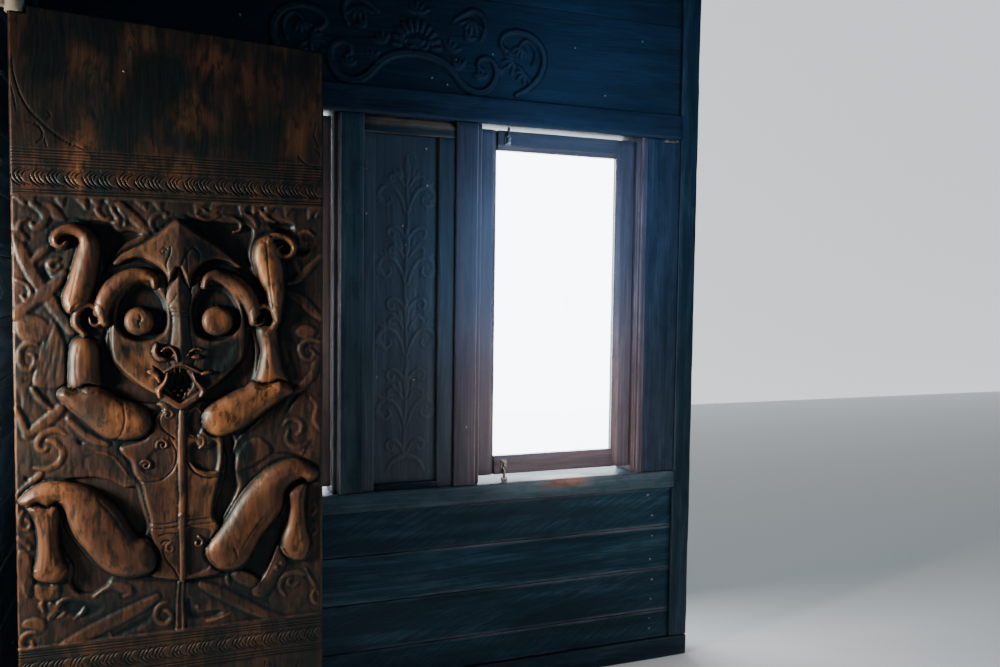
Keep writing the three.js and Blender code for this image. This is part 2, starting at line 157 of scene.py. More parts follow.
def timberFinish(name, look):
    # brushed, oiled or bare wood: colour from grain, stains and worn edges, with painted shade in the hollows
    # and painted highlights on convex edges
    material, add, link, ramp, bump, shader = startFinish(name)
    blend = timberMix
    black, white = (0.0, 0.0, 0.0), (1.0, 1.0, 1.0)
    along = "xyz".index(look["grain"])

    def stretched(fine, long):
        return tuple(long if i == along else fine for i in range(3))

    def noise(source, scale, detail, rough, stretch):
        place = add("ShaderNodeMapping")
        inputOf(place, "Scale", stretch)
        link(source, place.inputs["Vector"])
        node = add("ShaderNodeTexNoise")
        inputOf(node, "Scale", scale)
        inputOf(node, "Detail", detail)
        inputOf(node, "Roughness", rough)
        link(place.outputs["Vector"], node.inputs["Vector"])
        return node.outputs["Fac"]

    def feed(sockets, values):
        for socket, value in zip(sockets, values):
            if isinstance(value, bpy.types.NodeSocket):
                link(value, socket)
            else:
                socket.default_value = (*value, 1) if isinstance(value, tuple) else value

    def mix(kind, factor, a, b):
        node = add("ShaderNodeMix", data_type="RGBA", blend_type=kind)
        feed([socket for socket in node.inputs if socket.enabled], (factor, a, b))
        return [socket for socket in node.outputs if socket.enabled][0]

    def maths(kind, a, b):
        node = add("ShaderNodeMath", operation=kind)
        feed(node.inputs, (a, b))
        return node.outputs["Value"]

    def mask(source, places, first=black, last=white):
        return ramp(source, [(places[0], first), (places[1], last)])

    def cover(body, share, amount, colour):
        return mix("MIX", maths("MULTIPLY", share, look[amount]), body, look[colour])

    coord = add("ShaderNodeTexCoord")
    tone = add("ShaderNodeAttribute", attribute_name="tone")
    split = add("ShaderNodeSeparateColor")
    link(tone.outputs["Color"], split.inputs["Color"])
    rub, hollow, board = split.outputs["Red"], split.outputs["Green"], split.outputs["Blue"]
    shift = add("ShaderNodeVectorMath", operation="SCALE")
    spread = add("ShaderNodeCombineXYZ")
    for i, reach in enumerate(blend["boardShift"]):
        link(maths("MULTIPLY", board, reach), spread.inputs[i])
    link(spread.outputs["Vector"], shift.inputs[0])
    inputOf(shift, "Scale", blend["shiftScale"])
    place = add("ShaderNodeVectorMath", operation="ADD")
    link(coord.outputs["Object"], place.inputs[0])
    link(shift.outputs["Vector"], place.inputs[1])
    drift = add("ShaderNodeTexNoise")
    inputOf(drift, "Scale", look["flowScale"])
    inputOf(drift, "Detail", 1.0)
    link(place.outputs["Vector"], drift.inputs["Vector"])
    sway = add("ShaderNodeVectorMath", operation="MULTIPLY_ADD")
    link(drift.outputs["Color"], sway.inputs[0])
    sway.inputs[1].default_value = stretched(look["flow"], 0.0)
    link(place.outputs["Vector"], sway.inputs[2])
    where = sway.outputs["Vector"]

    grain = noise(where, look["grainScale"], 6.0, 0.6, stretched(1.0, 0.07))
    if look["slant"]:
        # brushed across the grain, each board at its own angle
        swing = add("ShaderNodeCombineXYZ")
        angle = maths("MULTIPLY", maths("SUBTRACT", board, look["slant"]), blend["slantSpread"])
        link(angle, swing.inputs["Y"])
        turned = add("ShaderNodeMapping", vector_type="TEXTURE")
        inputOf(turned, "Scale", blend["slantStretch"])
        link(where, turned.inputs["Vector"])
        link(swing.outputs["Vector"], turned.inputs["Rotation"])
        streak = noise(turned.outputs["Vector"], look["streakScale"], 3.0, 0.55, stretched(1.0, 1.0))
    else:
        streak = noise(where, look["streakScale"], 3.0, 0.55, stretched(1.0, 0.022))
    stain = noise(where, look["stainScale"], 3.0, 0.55, stretched(1.0, 0.35))
    figure = maths("MULTIPLY", streak, blend["streakShare"])
    figure = maths("ADD", maths("MULTIPLY", grain, blend["grainShare"]), figure)
    body = ramp(figure, list(zip(blend["bodyAt"], (look["dark"], look["middle"], look["light"]))))
    blotch = mask(stain, blend["stainAt"])
    body = cover(body, blotch, "stainAmount", "stain")
    body = mix("MULTIPLY", 1.0, body, mask(board, (0.0, 1.0), blend["firstBoard"], blend["lastBoard"]))
    warmth = noise(where, blend["warmthScale"], 2.0, 0.5, stretched(1.0, 0.5))
    warmth = mask(warmth, blend["warmthAt"], look["wornDeep"], look["worn"])
    patina = maths("SUBTRACT", 1.0, maths("MULTIPLY", blotch, blend["stainHides"]))
    patina = maths("MULTIPLY", patina, maths("MULTIPLY", figure, blend["figureShows"]))
    worn = maths("MINIMUM", maths("MULTIPLY", rub, patina), 1.0)
    body = mix("MIX", worn, body, warmth)
    spots = mask(noise(where, look["spotScale"], 4.0, 0.65, stretched(1.0, 0.42)), blend["spotAt"])
    body = cover(body, spots, "spotAmount", "stain")
    # painted shade, and the dark stains of the plain wood: where the tone's green is low (hollows, and the
    # shade field) the colour turns to the dark shade colour
    body = cover(body, mask(hollow, blend["shadeAndDirtAt"], white, black), "shadeAndDirtAmount", "shadeAndDirt")
    # painted highlight: where the green is high, on ridges and arrises, the colour turns to the lighter edge
    # colour
    body = cover(body, mask(hollow, blend["edgeHighlightAt"]), "edgeHighlightAmount", "edge")

    rough = maths("MULTIPLY", maths("SUBTRACT", streak, 0.5), blend["streakRough"])
    rough = maths("ADD", look["rough"], rough)
    rough = maths("SUBTRACT", rough, maths("MULTIPLY", rub, look["polish"]))
    rough = maths("ADD", rough, maths("MULTIPLY", blotch, blend["stainRough"]))
    relief = maths("MULTIPLY", streak, blend["streakBump"])
    relief = maths("ADD", relief, maths("MULTIPLY", grain, blend["grainBump"]))
    shineShare = maths("MINIMUM", maths("MULTIPLY", worn, blend["shineFollows"]), 1.0)
    link(body, shader.inputs["Base Color"])
    link(rough, shader.inputs["Roughness"])
    link(bump(relief, look["bump"], blend["bumpDepth"]), shader.inputs["Normal"])
    link(mix("MIX", shineShare, look["shine"], look["wornShine"]), shader.inputs["Specular Tint"])
    inputOf(shader, "Specular IOR Level", look["gloss"])
    return material


# painted light: the blue tint of the wall's dark timber stands for the bluish haze of window light
darkLook = {
    "grain": "x", "grainScale": 26.0, "streakScale": 150.0, "stainScale": 3.2, "spotScale": 30.0,
    "spotAmount": 0.3, "flow": 0.08, "flowScale": 1.9, "slant": 0.0,
    "shine": (0.80, 0.93, 1.0), "wornShine": (0.95, 0.97, 1.0),
    "dark": (0.0020, 0.0080, 0.0135), "middle": (0.0062, 0.0195, 0.0320), "light": (0.024, 0.050, 0.072),
    "stain": (0.0030, 0.0095, 0.0150), "stainAmount": 0.5,
    "worn": (0.080, 0.095, 0.115), "wornDeep": (0.055, 0.060, 0.072),
    "shadeAndDirt": (0.0015, 0.0035, 0.0050), "shadeAndDirtAmount": 0.6, "edge": (0.038, 0.054, 0.074), "edgeHighlightAmount": 0.4,
    "rough": 0.46, "polish": 0.08, "bump": 1.0, "gloss": 0.22,
}
# painted light: the frame and sash timbers are lighter than the wall's dark timber, for the window haze that
# lights them
frameLook = dict(
    darkLook, grain="z", flow=0.03, shine=(1.0, 1.0, 1.0), dark=(0.024, 0.022, 0.034),
    middle=(0.050, 0.044, 0.064), light=(0.095, 0.080, 0.105), stain=(0.022, 0.024, 0.036),
    worn=(0.42, 0.31, 0.31), wornDeep=(0.28, 0.19, 0.19), rough=0.42, stainAmount=0.4, bump=0.5, gloss=0.4)
sashLook = dict(
    frameLook, dark=(0.055, 0.048, 0.062), middle=(0.100, 0.088, 0.110), light=(0.16, 0.145, 0.17),
    stain=(0.055, 0.048, 0.060))
carvedLook = {
    "grain": "z", "grainScale": 22.0, "streakScale": 170.0, "stainScale": 11.0, "spotScale": 46.0,
    "spotAmount": 0.8, "flow": 0.05, "flowScale": 5.0, "slant": 0.0,
    "shine": (0.41, 0.63, 0.64), "wornShine": (1.0, 0.73, 0.50),
    "dark": (0.0105, 0.0068, 0.0052), "middle": (0.030, 0.0155, 0.0108), "light": (0.066, 0.032, 0.021),
    "stain": (0.0066, 0.0074, 0.0060), "stainAmount": 0.75,
    "worn": (0.285, 0.112, 0.038), "wornDeep": (0.125, 0.043, 0.020),
    "shadeAndDirt": (0.0020, 0.0042, 0.0048), "shadeAndDirtAmount": 0.94, "edge": (0.20, 0.10, 0.055), "edgeHighlightAmount": 0.12,
    "rough": 0.46, "polish": 0.10, "bump": 0.4, "gloss": 0.40,
}
paleLook = dict(
    carvedLook, dark=(0.20, 0.14, 0.09), middle=(0.34, 0.26, 0.18), light=(0.48, 0.39, 0.28),
    stain=(0.20, 0.16, 0.12), worn=(0.5, 0.42, 0.31), wornDeep=(0.4, 0.32, 0.22), stainAmount=0.3,
    shadeAndDirtAmount=0.3, spotAmount=0.2, edge=(0.55, 0.47, 0.36), rough=0.7, polish=0.0)
ironLook = {
    "scale": 220.0, "detail": 5.0, "rough": (0.55, 0.28), "metal": 0.85, "bump": 0.25, "bumpDepth": 0.0005,
    "stops": [(0.35, (0.10, 0.085, 0.075)), (0.65, (0.46, 0.45, 0.43))],
}
glassLook = {
    "scale": 9.0, "detail": 4.0, "rough": (0.0, 0.06), "through": 1.0, "bend": 1.45,
    "stops": [(0.0, (0.90, 0.95, 0.96)), (1.0, (0.97, 0.99, 1.0))],
}

# every timber: its name, the look it starts from and what differs
# painted light: the lighter, bluer or pinker copies near the windows (planks, lintel, sill, posts, panels,
# sashes, end panels) stand for the coloured haze of window light; the pale worn colours of plank and post
# arrises are partly wear and partly painted highlight
timbers = {
    "darkX": ("darkTimberAlong", darkLook, {}),
    "darkZ": ("darkTimberUpright", darkLook, {"grain": "z"}),
    "darkY": ("darkTimberThrough", darkLook, {"grain": "y"}),
    "plankX": ("plankTimber", darkLook, {
        "slant": 0.98, "flow": 0.04, "dark": (0.0020, 0.0110, 0.0195), "middle": (0.0058, 0.0300, 0.0510),
        "light": (0.030, 0.080, 0.115), "worn": (0.28, 0.27, 0.29), "wornDeep": (0.20, 0.19, 0.21)}),
    "upperPlankX": ("upperPlankTimber", darkLook, {
        "slant": 0.98, "flow": 0.04, "dark": (0.0045, 0.0185, 0.0310), "middle": (0.0120, 0.0460, 0.0720),
        "light": (0.042, 0.105, 0.145), "worn": (0.28, 0.27, 0.29), "wornDeep": (0.20, 0.19, 0.21)}),
    "lintelX": ("lintelTimber", darkLook, {
        "dark": (0.0070, 0.0170, 0.0270), "middle": (0.0250, 0.0450, 0.0760),
        "light": (0.048, 0.080, 0.125)}),
    "friezeX": ("friezeTimber", darkLook, {
        "edgeHighlightAmount": 0.12, "dark": (0.0030, 0.0105, 0.0185), "middle": (0.0060, 0.0180, 0.0310),
        "light": (0.0115, 0.0310, 0.0500), "worn": (0.040, 0.050, 0.062), "wornDeep": (0.028, 0.036, 0.046)}),
    "sillX": ("sillTimberAlong", darkLook, {
        "flow": 0.05, "dark": (0.023, 0.046, 0.062), "middle": (0.050, 0.090, 0.116),
        "light": (0.085, 0.130, 0.165), "worn": (0.24, 0.12, 0.095), "wornDeep": (0.15, 0.075, 0.06)}),
    "postZ": ("postTimber", darkLook, {
        "grain": "z", "flow": 0.03, "dark": (0.024, 0.050, 0.058), "middle": (0.050, 0.088, 0.098),
        "light": (0.090, 0.130, 0.145), "worn": (0.55, 0.48, 0.47), "wornDeep": (0.42, 0.36, 0.35)}),
    "railZ": ("railTimber", sashLook, {
        "dark": (0.08, 0.055, 0.052), "middle": (0.16, 0.112, 0.108), "light": (0.23, 0.17, 0.165)}),
    "panelZ": ("panelTimber", darkLook, {
        "grain": "z", "flow": 0.05, "dark": (0.026, 0.040, 0.046), "middle": (0.054, 0.074, 0.086),
        "light": (0.094, 0.120, 0.138), "stain": (0.050, 0.050, 0.056), "worn": (0.13, 0.10, 0.10),
        "bump": 0.4}),
    "cornerZ": ("cornerTimber", darkLook, {
        "grain": "z", "flow": 0.06, "dark": (0.011, 0.020, 0.038), "middle": (0.028, 0.043, 0.072),
        "light": (0.056, 0.080, 0.120)}),
    "sashZ": ("sashTimberUpright", sashLook, {}),
    "sashX": ("sashTimberAlong", sashLook, {"grain": "x", "worn": (0.30, 0.13, 0.10)}),
    "ledgeX": ("ledgeTimber", darkLook, {
        "flow": 0.02, "dark": (0.010, 0.014, 0.018), "middle": (0.026, 0.032, 0.038),
        "light": (0.050, 0.054, 0.060), "worn": (0.70, 0.43, 0.22), "wornDeep": (0.56, 0.26, 0.18)}),
    "frameZ": ("frameTimberUpright", frameLook, {}),
    "carved": ("carvedTimber", carvedLook, {}),
    "pale": ("paleTimber", paleLook, {}),
}
finishes = {key: timberFinish(name, dict(look, **changes)) for key, (name, look, changes) in timbers.items()}


def cloudedFinish(name, look):
    # iron or glass: one cloudy noise drives its colour and its roughness
    material, add, link, ramp, bump, shader = startFinish(name)
    clouds = add("ShaderNodeTexNoise")
    inputOf(clouds, "Scale", look["scale"])
    inputOf(clouds, "Detail", look["detail"])
    link(add("ShaderNodeTexCoord").outputs["Object"], clouds.inputs["Vector"])
    link(ramp(clouds.outputs["Fac"], look["stops"]), shader.inputs["Base Color"])
    rough = add("ShaderNodeMapRange")
    inputOf(rough, "To Min", look["rough"][0])
    inputOf(rough, "To Max", look["rough"][1])
    link(clouds.outputs["Fac"], rough.inputs["Value"])
    link(rough.outputs["Result"], shader.inputs["Roughness"])
    if "metal" in look:
        link(bump(clouds.outputs["Fac"], look["bump"], look["bumpDepth"]), shader.inputs["Normal"])
        inputOf(shader, "Metallic", look["metal"])
    else:
        inputOf(shader, "Transmission Weight", look["through"])
        inputOf(shader, "IOR", look["bend"])
    return material


finishes["iron"] = cloudedFinish("agedIron", ironLook)
finishes["glass"] = cloudedFinish("clearGlass", glassLook)
print("finishes mixed")


# from numbers to Blender pieces

def addToScene(name, data):
    thing = bpy.data.objects.new(name, data)
    bpy.context.scene.collection.objects.link(thing)
    return thing


def makePiece(name, form, finish, node, slot="dark_timber", body="wall"):
    # a form is its points in mm, its faces, the tone of each point and a smooth flag for each face
    points, faces, tone, smooth = form
    mesh = bpy.data.meshes.new(name)
    mesh.from_pydata((np.asarray(points) * mm).tolist(), [], faces)
    mesh.polygons.foreach_set("use_smooth", smooth)
    colours = np.ones((len(points), 4), np.float32)
    colours[:, :3] = tone
    layer = mesh.color_attributes.new("tone", "FLOAT_COLOR", "POINT")
    layer.data.foreach_set("color", colours.ravel())
    mesh.materials.append(finishes[finish])
    mesh.validate()
    mesh.update()
    piece = addToScene(name, mesh)
    for item in ([node] if isinstance(node, str) else node):
        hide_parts(item)
    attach(piece, body)
    return piece


def boardNumber(name):
    # a steady value from 0 to 1 for each board, so that no two look the same
    stride, steps = 37, 101
    return (sum(ord(letter) * (i + 3) for i, letter in enumerate(name)) * stride % steps) / steps


def turnTo(points, axis):
    # a section drawn on the first two axes after this one, and run along it
    return points[:, {"x": [2, 0, 1], "y": [1, 2, 0], "z": [0, 1, 2]}[axis]]


def boxSection(low, high, axis):
    # the section of a box across an axis, and its span along it
    across = {"x": (1, 2), "y": (2, 0), "z": (0, 1)}[axis]
    along = "xyz".index(axis)
    corners = rectangle(low[across[0]], high[across[0]], low[across[1]], high[across[1]])
    return corners, (low[along], high[along])


def sectionRing(corners, bevel, spacing):
    # corners run anticlockwise; each corner is rounded off and each side divided
    p = np.array(corners, float)
    count = len(p)
    ring = []
    edge = []
    for i in range(count):
        before = p[i - 1]
        here = p[i]
        after = p[(i + 1) % count]
        back = (before - here) / np.linalg.norm(before - here)
        ahead = (after - here) / np.linalg.norm(after - here)
        cut = min(bevel, 0.4 * np.linalg.norm(before - here), 0.4 * np.linalg.norm(after - here))
        start = here + back * cut
        end = here + ahead * cut
        middle = (start + end) / 2 * 0.45 + here * 0.55
        ring += [start, middle, end]
        edge += [0.55, 1.0, 0.55]
        nextCut = min(bevel, 0.4 * np.linalg.norm(after - here))
        run = np.linalg.norm(after - here) - cut - nextCut
        steps = int(run / spacing)
        for k in range(1, steps + 1):
            ring.append(end + ahead * run * k / (steps + 1))
            edge.append(0.0)
    return np.array(ring), np.array(edge)


def loftBar(corners, run, grain, look, seed):
    # a timber of one section along an axis, its faces a little uneven and its arrises eased
    ring, edge = sectionRing(corners, look["bevel"], look["spacing"])
    ahead = np.roll(ring, -1, 0) - np.roll(ring, 1, 0)
    outward = np.stack([ahead[:, 1], -ahead[:, 0]], 1)
    outward /= np.linalg.norm(outward, axis=1)[:, None]
    low, high = run
    count = max(4, int((high - low) / look["step"]))
    stations = np.linspace(low + look["bevel"], high - look["bevel"], count)
    stations = np.concatenate([[low], stations, [high]])
    walk = np.concatenate([[0.0], np.cumsum(np.linalg.norm(np.diff(ring, axis=0), axis=1))])
    rows = []
    tones = []

    def rough(along, across, number):
        return latticeNoise(np.full(len(ring), along), across, number)

    for k, s in enumerate(stations):
        wave = rough(s / look["wave"] + 11, walk / 30.0 + seed * 3, seed)
        ripple = rough(s / 35.0 + 5, walk / 7.0 + seed, seed + 9)
        lift = -look["uneven"] * (0.5 + 0.5 * wave) - look["uneven"] * 0.4 * (0.5 + 0.5 * ripple)
        lift -= edge * look["wear"] * (0.5 + 0.5 * rough(s / 60.0, walk / 90.0, seed + 4))
        if k in (0, len(stations) - 1):
            lift -= look["bevel"] * 0.7
        rows.append(np.column_stack([ring + outward * lift[:, None], np.full(len(ring), s)]))
        rubbed = edge * look["rub"] * (0.55 + 0.45 * wave)
        # partly painted highlight: the rub fades out before this point along the bar, as the light does
        if look.get("wornAndLitFrom"):
            rubbed *= 0.2 + 0.8 * smoothStep((s - look["wornAndLitFrom"]) / 500)
        # painted highlight: arrises inside this band are pale, as where the window light catches them
        if look.get("pale"):
            near = (ring[:, 0] > look["pale"][0]) & (ring[:, 0] < look["pale"][1])
            rubbed = np.where(near, edge * (0.85 + 0.15 * wave), 0.3 * rubbed)
        # a worn patch on the upper front; on the panel's top rail it is also a painted highlight
        if look.get("wornAt"):
            place, reach = look["wornAt"]
            above = smoothStep((ring[:, 1] - ring[:, 1].mean() - look.get("wornLow", -7.0)) / 24)
            patch = smoothStep(1.4 - abs(s - place) / reach + 0.4 * wave) * above
            rubbed = np.maximum(rubbed, 0.95 * patch * (ring[:, 0] < ring[:, 0].mean()))
        # the green rises along the arrises, so they take a touch of the painted edge highlight
        tones.append(np.column_stack([rubbed, 0.5 + 0.12 * edge, np.full(len(ring), look["board"])]))
    points = np.vstack(rows)
    tone = np.vstack(tones)
    n = len(ring)
    faces = []
    for k in range(len(stations) - 1):
        for i in range(n):
            j = (i + 1) % n
            faces.append((k * n + i, k * n + j, (k + 1) * n + j, (k + 1) * n + i))
    smooth = [True] * len(faces)
    last = (len(stations) - 1) * n
    faces.append(tuple(range(n - 1, -1, -1)))
    faces.append(tuple(range(last, last + n)))
    smooth += [False, False]
    return turnTo(points, grain), faces, tone, smooth


barLook = {"bevel": 3.0, "spacing": 16.0, "step": 38.0, "wave": 140.0, "uneven": 0.7, "wear": 1.2,
           "rub": 0.5, "board": 0.5}


def rectangle(a0, a1, b0, b1):
    return [(a0, b0), (a1, b0), (a1, b1), (a0, b1)]


def joinParts(parts):
    points, faces, tones, smooth = [], [], [], []
    start = 0
    for part in parts:
        points.append(part[0])
        faces += [tuple(i + start for i in face) for face in part[1]]
        tones.append(part[2])
        smooth += part[3]
        start += len(part[0])
    return np.vstack(points), faces, np.vstack(tones), smooth


def flatFaced(form):
    return *form[:3], [False] * len(form[1])


def hewnBar(name, node, grain, finish, slot="dark_timber", corners=None, **changes):
    # a timber that fills its solid's box, or has its own corners across it
    low, high = inMm(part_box(node))
    look = dict(barLook, board=boardNumber(name), **changes)
    section, run = boxSection(low, high, grain)
    form = loftBar(corners or section, run, grain, look, int(look["board"] * 100) + 1)
    makePiece(name, form, finish, node, slot)


def turnedForm(profile, centre, sides=20, tone=(0.0, 0.5, 0.5)):
    # a closed upright round form; its profile lists (radius, height), the first and the last on the axis
    points = [(0.0, 0.0, profile[0][1])]
    for radius, height in profile[1:-1]:
        for k in range(sides):
            angle = 2 * math.pi * k / sides
            points.append((radius * math.cos(angle), radius * math.sin(angle), height))
    points.append((0.0, 0.0, profile[-1][1]))
    rings = len(profile) - 2
    faces = [(0, 1 + (k + 1) % sides, 1 + k) for k in range(sides)]
    for r in range(rings - 1):
        for k in range(sides):
            a = 1 + r * sides + k
            b = 1 + r * sides + (k + 1) % sides
            faces.append((a, b, b + sides, a + sides))
    top = len(points) - 1
    base = 1 + (rings - 1) * sides
    faces += [(base + k, base + (k + 1) % sides, top) for k in range(sides)]
    return np.array(points) + np.array(centre), faces, np.tile(tone, (len(points), 1)), [True] * len(faces)


def roundHead(profile, x, y, z, sides=10):
    # a round form whose axis points from the wall into the room
    points, *rest = turnedForm(profile, (0, 0, 0), sides)
    return np.column_stack([points[:, 0] + x, y - points[:, 2], points[:, 1] + z]), *rest


# relief carving: a field of heights over a board, worked in painter's order

def newRelief(xs, zs, level=0.0):
    shape = (len(zs), len(xs))
    return {"x": xs, "z": zs, "h": np.full(shape, level), "rub": np.zeros(shape), "shade": np.zeros(shape)}


farAway = 1e3


def areaRound(relief, path, pad):
    # the rows and columns of the field round a path
    columns = np.searchsorted(relief["x"], (path[:, 0].min() - pad, path[:, 0].max() + pad))
    rows = np.searchsorted(relief["z"], (path[:, 1].min() - pad, path[:, 1].max() + pad))
    return slice(*rows), slice(*columns)


def strokeField(relief, points, reach):
    # how far each place lies from the path, and the path's half width there
    path = smoothPath(points)
    path[:, 2] = np.maximum(path[:, 2], 0.4)
    area = areaRound(relief, path, path[:, 2].max() + reach)
    xs = relief["x"][area[1]]
    zs = relief["z"][area[0]]
    shape = (len(zs), len(xs))
    gap = np.full(shape, farAway)
    half = np.ones(shape)
    for (ax, az, aw), (bx, bz, bw) in zip(path[:-1], path[1:]):
        near = max(aw, bw) + reach
        i0, i1 = np.searchsorted(xs, (min(ax, bx) - near, max(ax, bx) + near))
        j0, j1 = np.searchsorted(zs, (min(az, bz) - near, max(az, bz) + near))
        if i0 >= i1 or j0 >= j1:
            continue
        dx = xs[None, i0:i1] - ax
        dz = zs[j0:j1, None] - az
        run = (bx - ax) ** 2 + (bz - az) ** 2 + 1e-9
        t = np.clip((dx * (bx - ax) + dz * (bz - az)) / run, 0.0, 1.0)
        away = np.hypot(dx - t * (bx - ax), dz - t * (bz - az))
        width = aw + (bw - aw) * t
        box = (slice(j0, j1), slice(i0, i1))
        closer = away - width < gap[box] - half[box]
        gap[box] = np.where(closer, away, gap[box])
        half[box] = np.where(closer, width, half[box])
    return area, gap, half


profiles = {
    "round": lambda r: np.sqrt(np.clip(1 - r * r, 0, 1)),
    "soft": lambda r: 0.5 + 0.5 * np.cos(np.pi * np.clip(r, 0, 1)),
    "flat": lambda r: smoothStep((1 - r) / 0.4),
    "strap": lambda r: smoothStep((1 - r) / 0.35) * (1 - 0.34 * np.exp(-(r / 0.36) ** 2)),
    "roof": lambda r: np.clip(1 - r, 0, 1) * 0.85 + 0.15 * smoothStep((1 - r) / 0.3),
    "ball": lambda r: np.clip(1 - r ** 2.6, 0, 1) ** 0.5,
    "disc": lambda r: 0.88 * np.clip(1 - r ** 7, 0, 1) ** 0.5 + 0.12 * np.clip(1 - r * r, 0, 1),
}


def setRub(relief, area, cover, rub):
    # the wear of a form takes the place of what lay there
    if rub is not None:
        relief["rub"][area] = relief["rub"][area] * (1 - cover) + rub * cover


def raiseStroke(relief, points, height, base, profile, moat, moatWidth, rub, over=False):
    # a bar along a path, with the ground cut away beside it
    area, gap, half = strokeField(relief, points, moatWidth)
    h = relief["h"][area]
    ratio = gap / half
    inside = ratio < 1.0
    ditch = np.clip(1 - (gap - half) / moatWidth, 0, 1) ** 2 * (~inside)
    h = h - moat * ditch
    form = base + height * profiles[profile](ratio)
    relief["h"][area] = np.where(inside, form if over else np.maximum(h, form), h)
    setRub(relief, area, smoothStep((1 - ratio) * 3.0), rub)


def raiseStrokes(relief, paths, *shape):
    for path in paths:
        raiseStroke(relief, path, *shape)


def cutGroove(relief, points, depth, reach=1.0):
    area, gap, half = strokeField(relief, points, reach)
    relief["h"][area] -= depth * profiles["soft"](gap / half)


def cutGrooves(relief, paths, depth):
    for path in paths:
        cutGroove(relief, path, depth)


def plateField(relief, outline, pad):
    # how deep each place lies inside the outline, below 0 outside it
    path = smoothPath(outline, 6.0, True)[:, :2]
    area = areaRound(relief, path, pad)
    xs = relief["x"][area[1]][None, :]
    zs = relief["z"][area[0]][:, None]
    shape = (zs.shape[0], xs.shape[1])
    gap = np.full(shape, farAway)
    inside = np.zeros(shape, bool)
    for (ax, az), (bx, bz) in zip(path, np.roll(path, -1, 0)):
        run = (bx - ax) ** 2 + (bz - az) ** 2 + 1e-9
        t = np.clip(((xs - ax) * (bx - ax) + (zs - az) * (bz - az)) / run, 0.0, 1.0)
        gap = np.minimum(gap, np.hypot(xs - ax - t * (bx - ax), zs - az - t * (bz - az)))
        if az != bz:
            crosses = (az > zs) != (bz > zs)
            inside ^= crosses & (xs < (bx - ax) * (zs - az) / (bz - az) + ax)
    return area, np.where(inside, gap, -gap)


def raisePlate(relief, outline, height, base, rim, moat, moatWidth, rub):
    # a pillow-like form: it climbs over its rim width, then stays level
    area, depth = plateField(relief, outline, moatWidth)
    h = relief["h"][area]
    inside = depth > 0
    h = h - moat * np.clip(1 + depth / moatWidth, 0, 1) ** 2 * (~inside)
    climb = np.clip(depth / rim, 0, 1)
    form = base + height * np.sqrt(np.clip(1 - (1 - climb) ** 2, 0, 1))
    relief["h"][area] = np.where(inside, form, h)
    setRub(relief, area, smoothStep(depth / (rim * 0.4)), rub)


def raisePlates(relief, outlines, *shape):
    for outline in outlines:
        raisePlate(relief, outline, *shape)


def sinkPlate(relief, outline, level, slope=10.0, rub=None):
    # a hollow: the surface drops to a level over its slope width
    area, depth = plateField(relief, outline, 2.0)
    h = relief["h"][area]
    fall = smoothStep(depth / slope)
    relief["h"][area] = h * (1 - fall) + np.minimum(h, level) * fall
    setRub(relief, area, fall, rub)


def ball(relief, x, z, radius, height, base=0.0, rub=None, moat=2.0, profile="ball"):
    raiseStroke(relief, [(x, z, radius), (x + 0.5, z, radius)], height, base, profile, moat, 4.0, rub, True)


def curl(x, z, radius, turns, start, hand, thick=6.0, inner=0.2):
    # a spiral from its outer end inwards; angles in degrees
    count = max(6, int(turns * 12))
    points = []
    for k in range(count + 1):
        t = k / count
        r = radius * (1 - (1 - inner) * t)
        angle = math.radians(start + hand * 360 * turns * t)
        points.append((x + r * math.cos(angle), z + r * math.sin(angle), thick * (1 - 0.55 * t)))
    return points


def reliefMesh(name, relief, depths, board, finish, node, slot="dark_timber", body="wall", warp=None,
               limit=120000):
    # a closed board between two depths: carved front, straight sides and a plain back
    surface, back = depths
    h = relief["h"]
    rows, columns = h.shape
    step = float(np.median(np.diff(relief["x"])))
    # the tone's green paints light and shade: lower in hollows and under the painted shade field, higher on
    # ridges and edges
    near = boxBlur(h, max(1, int(6 / step)))
    wide = boxBlur(h, max(2, int(22 / step)))
    hollow = np.clip(0.5 + (h - near) * 0.10 + (h - wide) * 0.03 + relief["shade"], 0, 1)
    xGrid, zGrid = np.meshgrid(relief["x"], relief["z"])
    if warp is not None:
        xGrid, zGrid = warp(xGrid, zGrid)
    front = np.column_stack([xGrid.ravel(), (surface - h).ravel(), zGrid.ravel()])
    tone = np.column_stack([relief["rub"].ravel(), hollow.ravel(), np.full(h.size, board)])
    index = np.arange(rows * columns).reshape(rows, columns)
    quads = np.stack([index[:-1, :-1], index[:-1, 1:], index[1:, 1:], index[1:, :-1]], -1).reshape(-1, 4)
    loop = np.concatenate([index[0, :-1], index[:-1, -1], index[-1, :0:-1], index[:0:-1, 0]])
    ringStart = len(front)
    ring = front[loop].copy()
    ring[:, 1] = back
    centre = ring.mean(0)[None, :]
    points = np.vstack([front, ring, centre])
    ringTone = np.column_stack([np.zeros(len(ring)), np.full(len(ring), 0.5), np.full(len(ring), board)])
    tone = np.vstack([tone, ringTone, ringTone[:1]])
    count = len(loop)
    faces = quads.tolist()
    smooth = [True] * len(faces)
    middle = len(points) - 1
    for k in range(count):
        j = (k + 1) % count
        faces.append((int(loop[k]), ringStart + k, ringStart + j, int(loop[j])))
        faces.append((middle, ringStart + j, ringStart + k))
    smooth += [False] * (2 * count)
    piece = makePiece(name, (points, faces, tone, smooth), finish, node, slot, body)
    triangles = 2 * len(quads) + 3 * count
    if triangles > limit:
        thin = piece.modifiers.new("thin", "DECIMATE")
        thin.ratio = limit / triangles
        bpy.context.view_layer.update()
        evaluated = piece.evaluated_get(bpy.context.evaluated_depsgraph_get())
        thinned = bpy.data.meshes.new_from_object(evaluated)
        piece.modifiers.clear()
        piece.data = thinned


# the carved door leaf

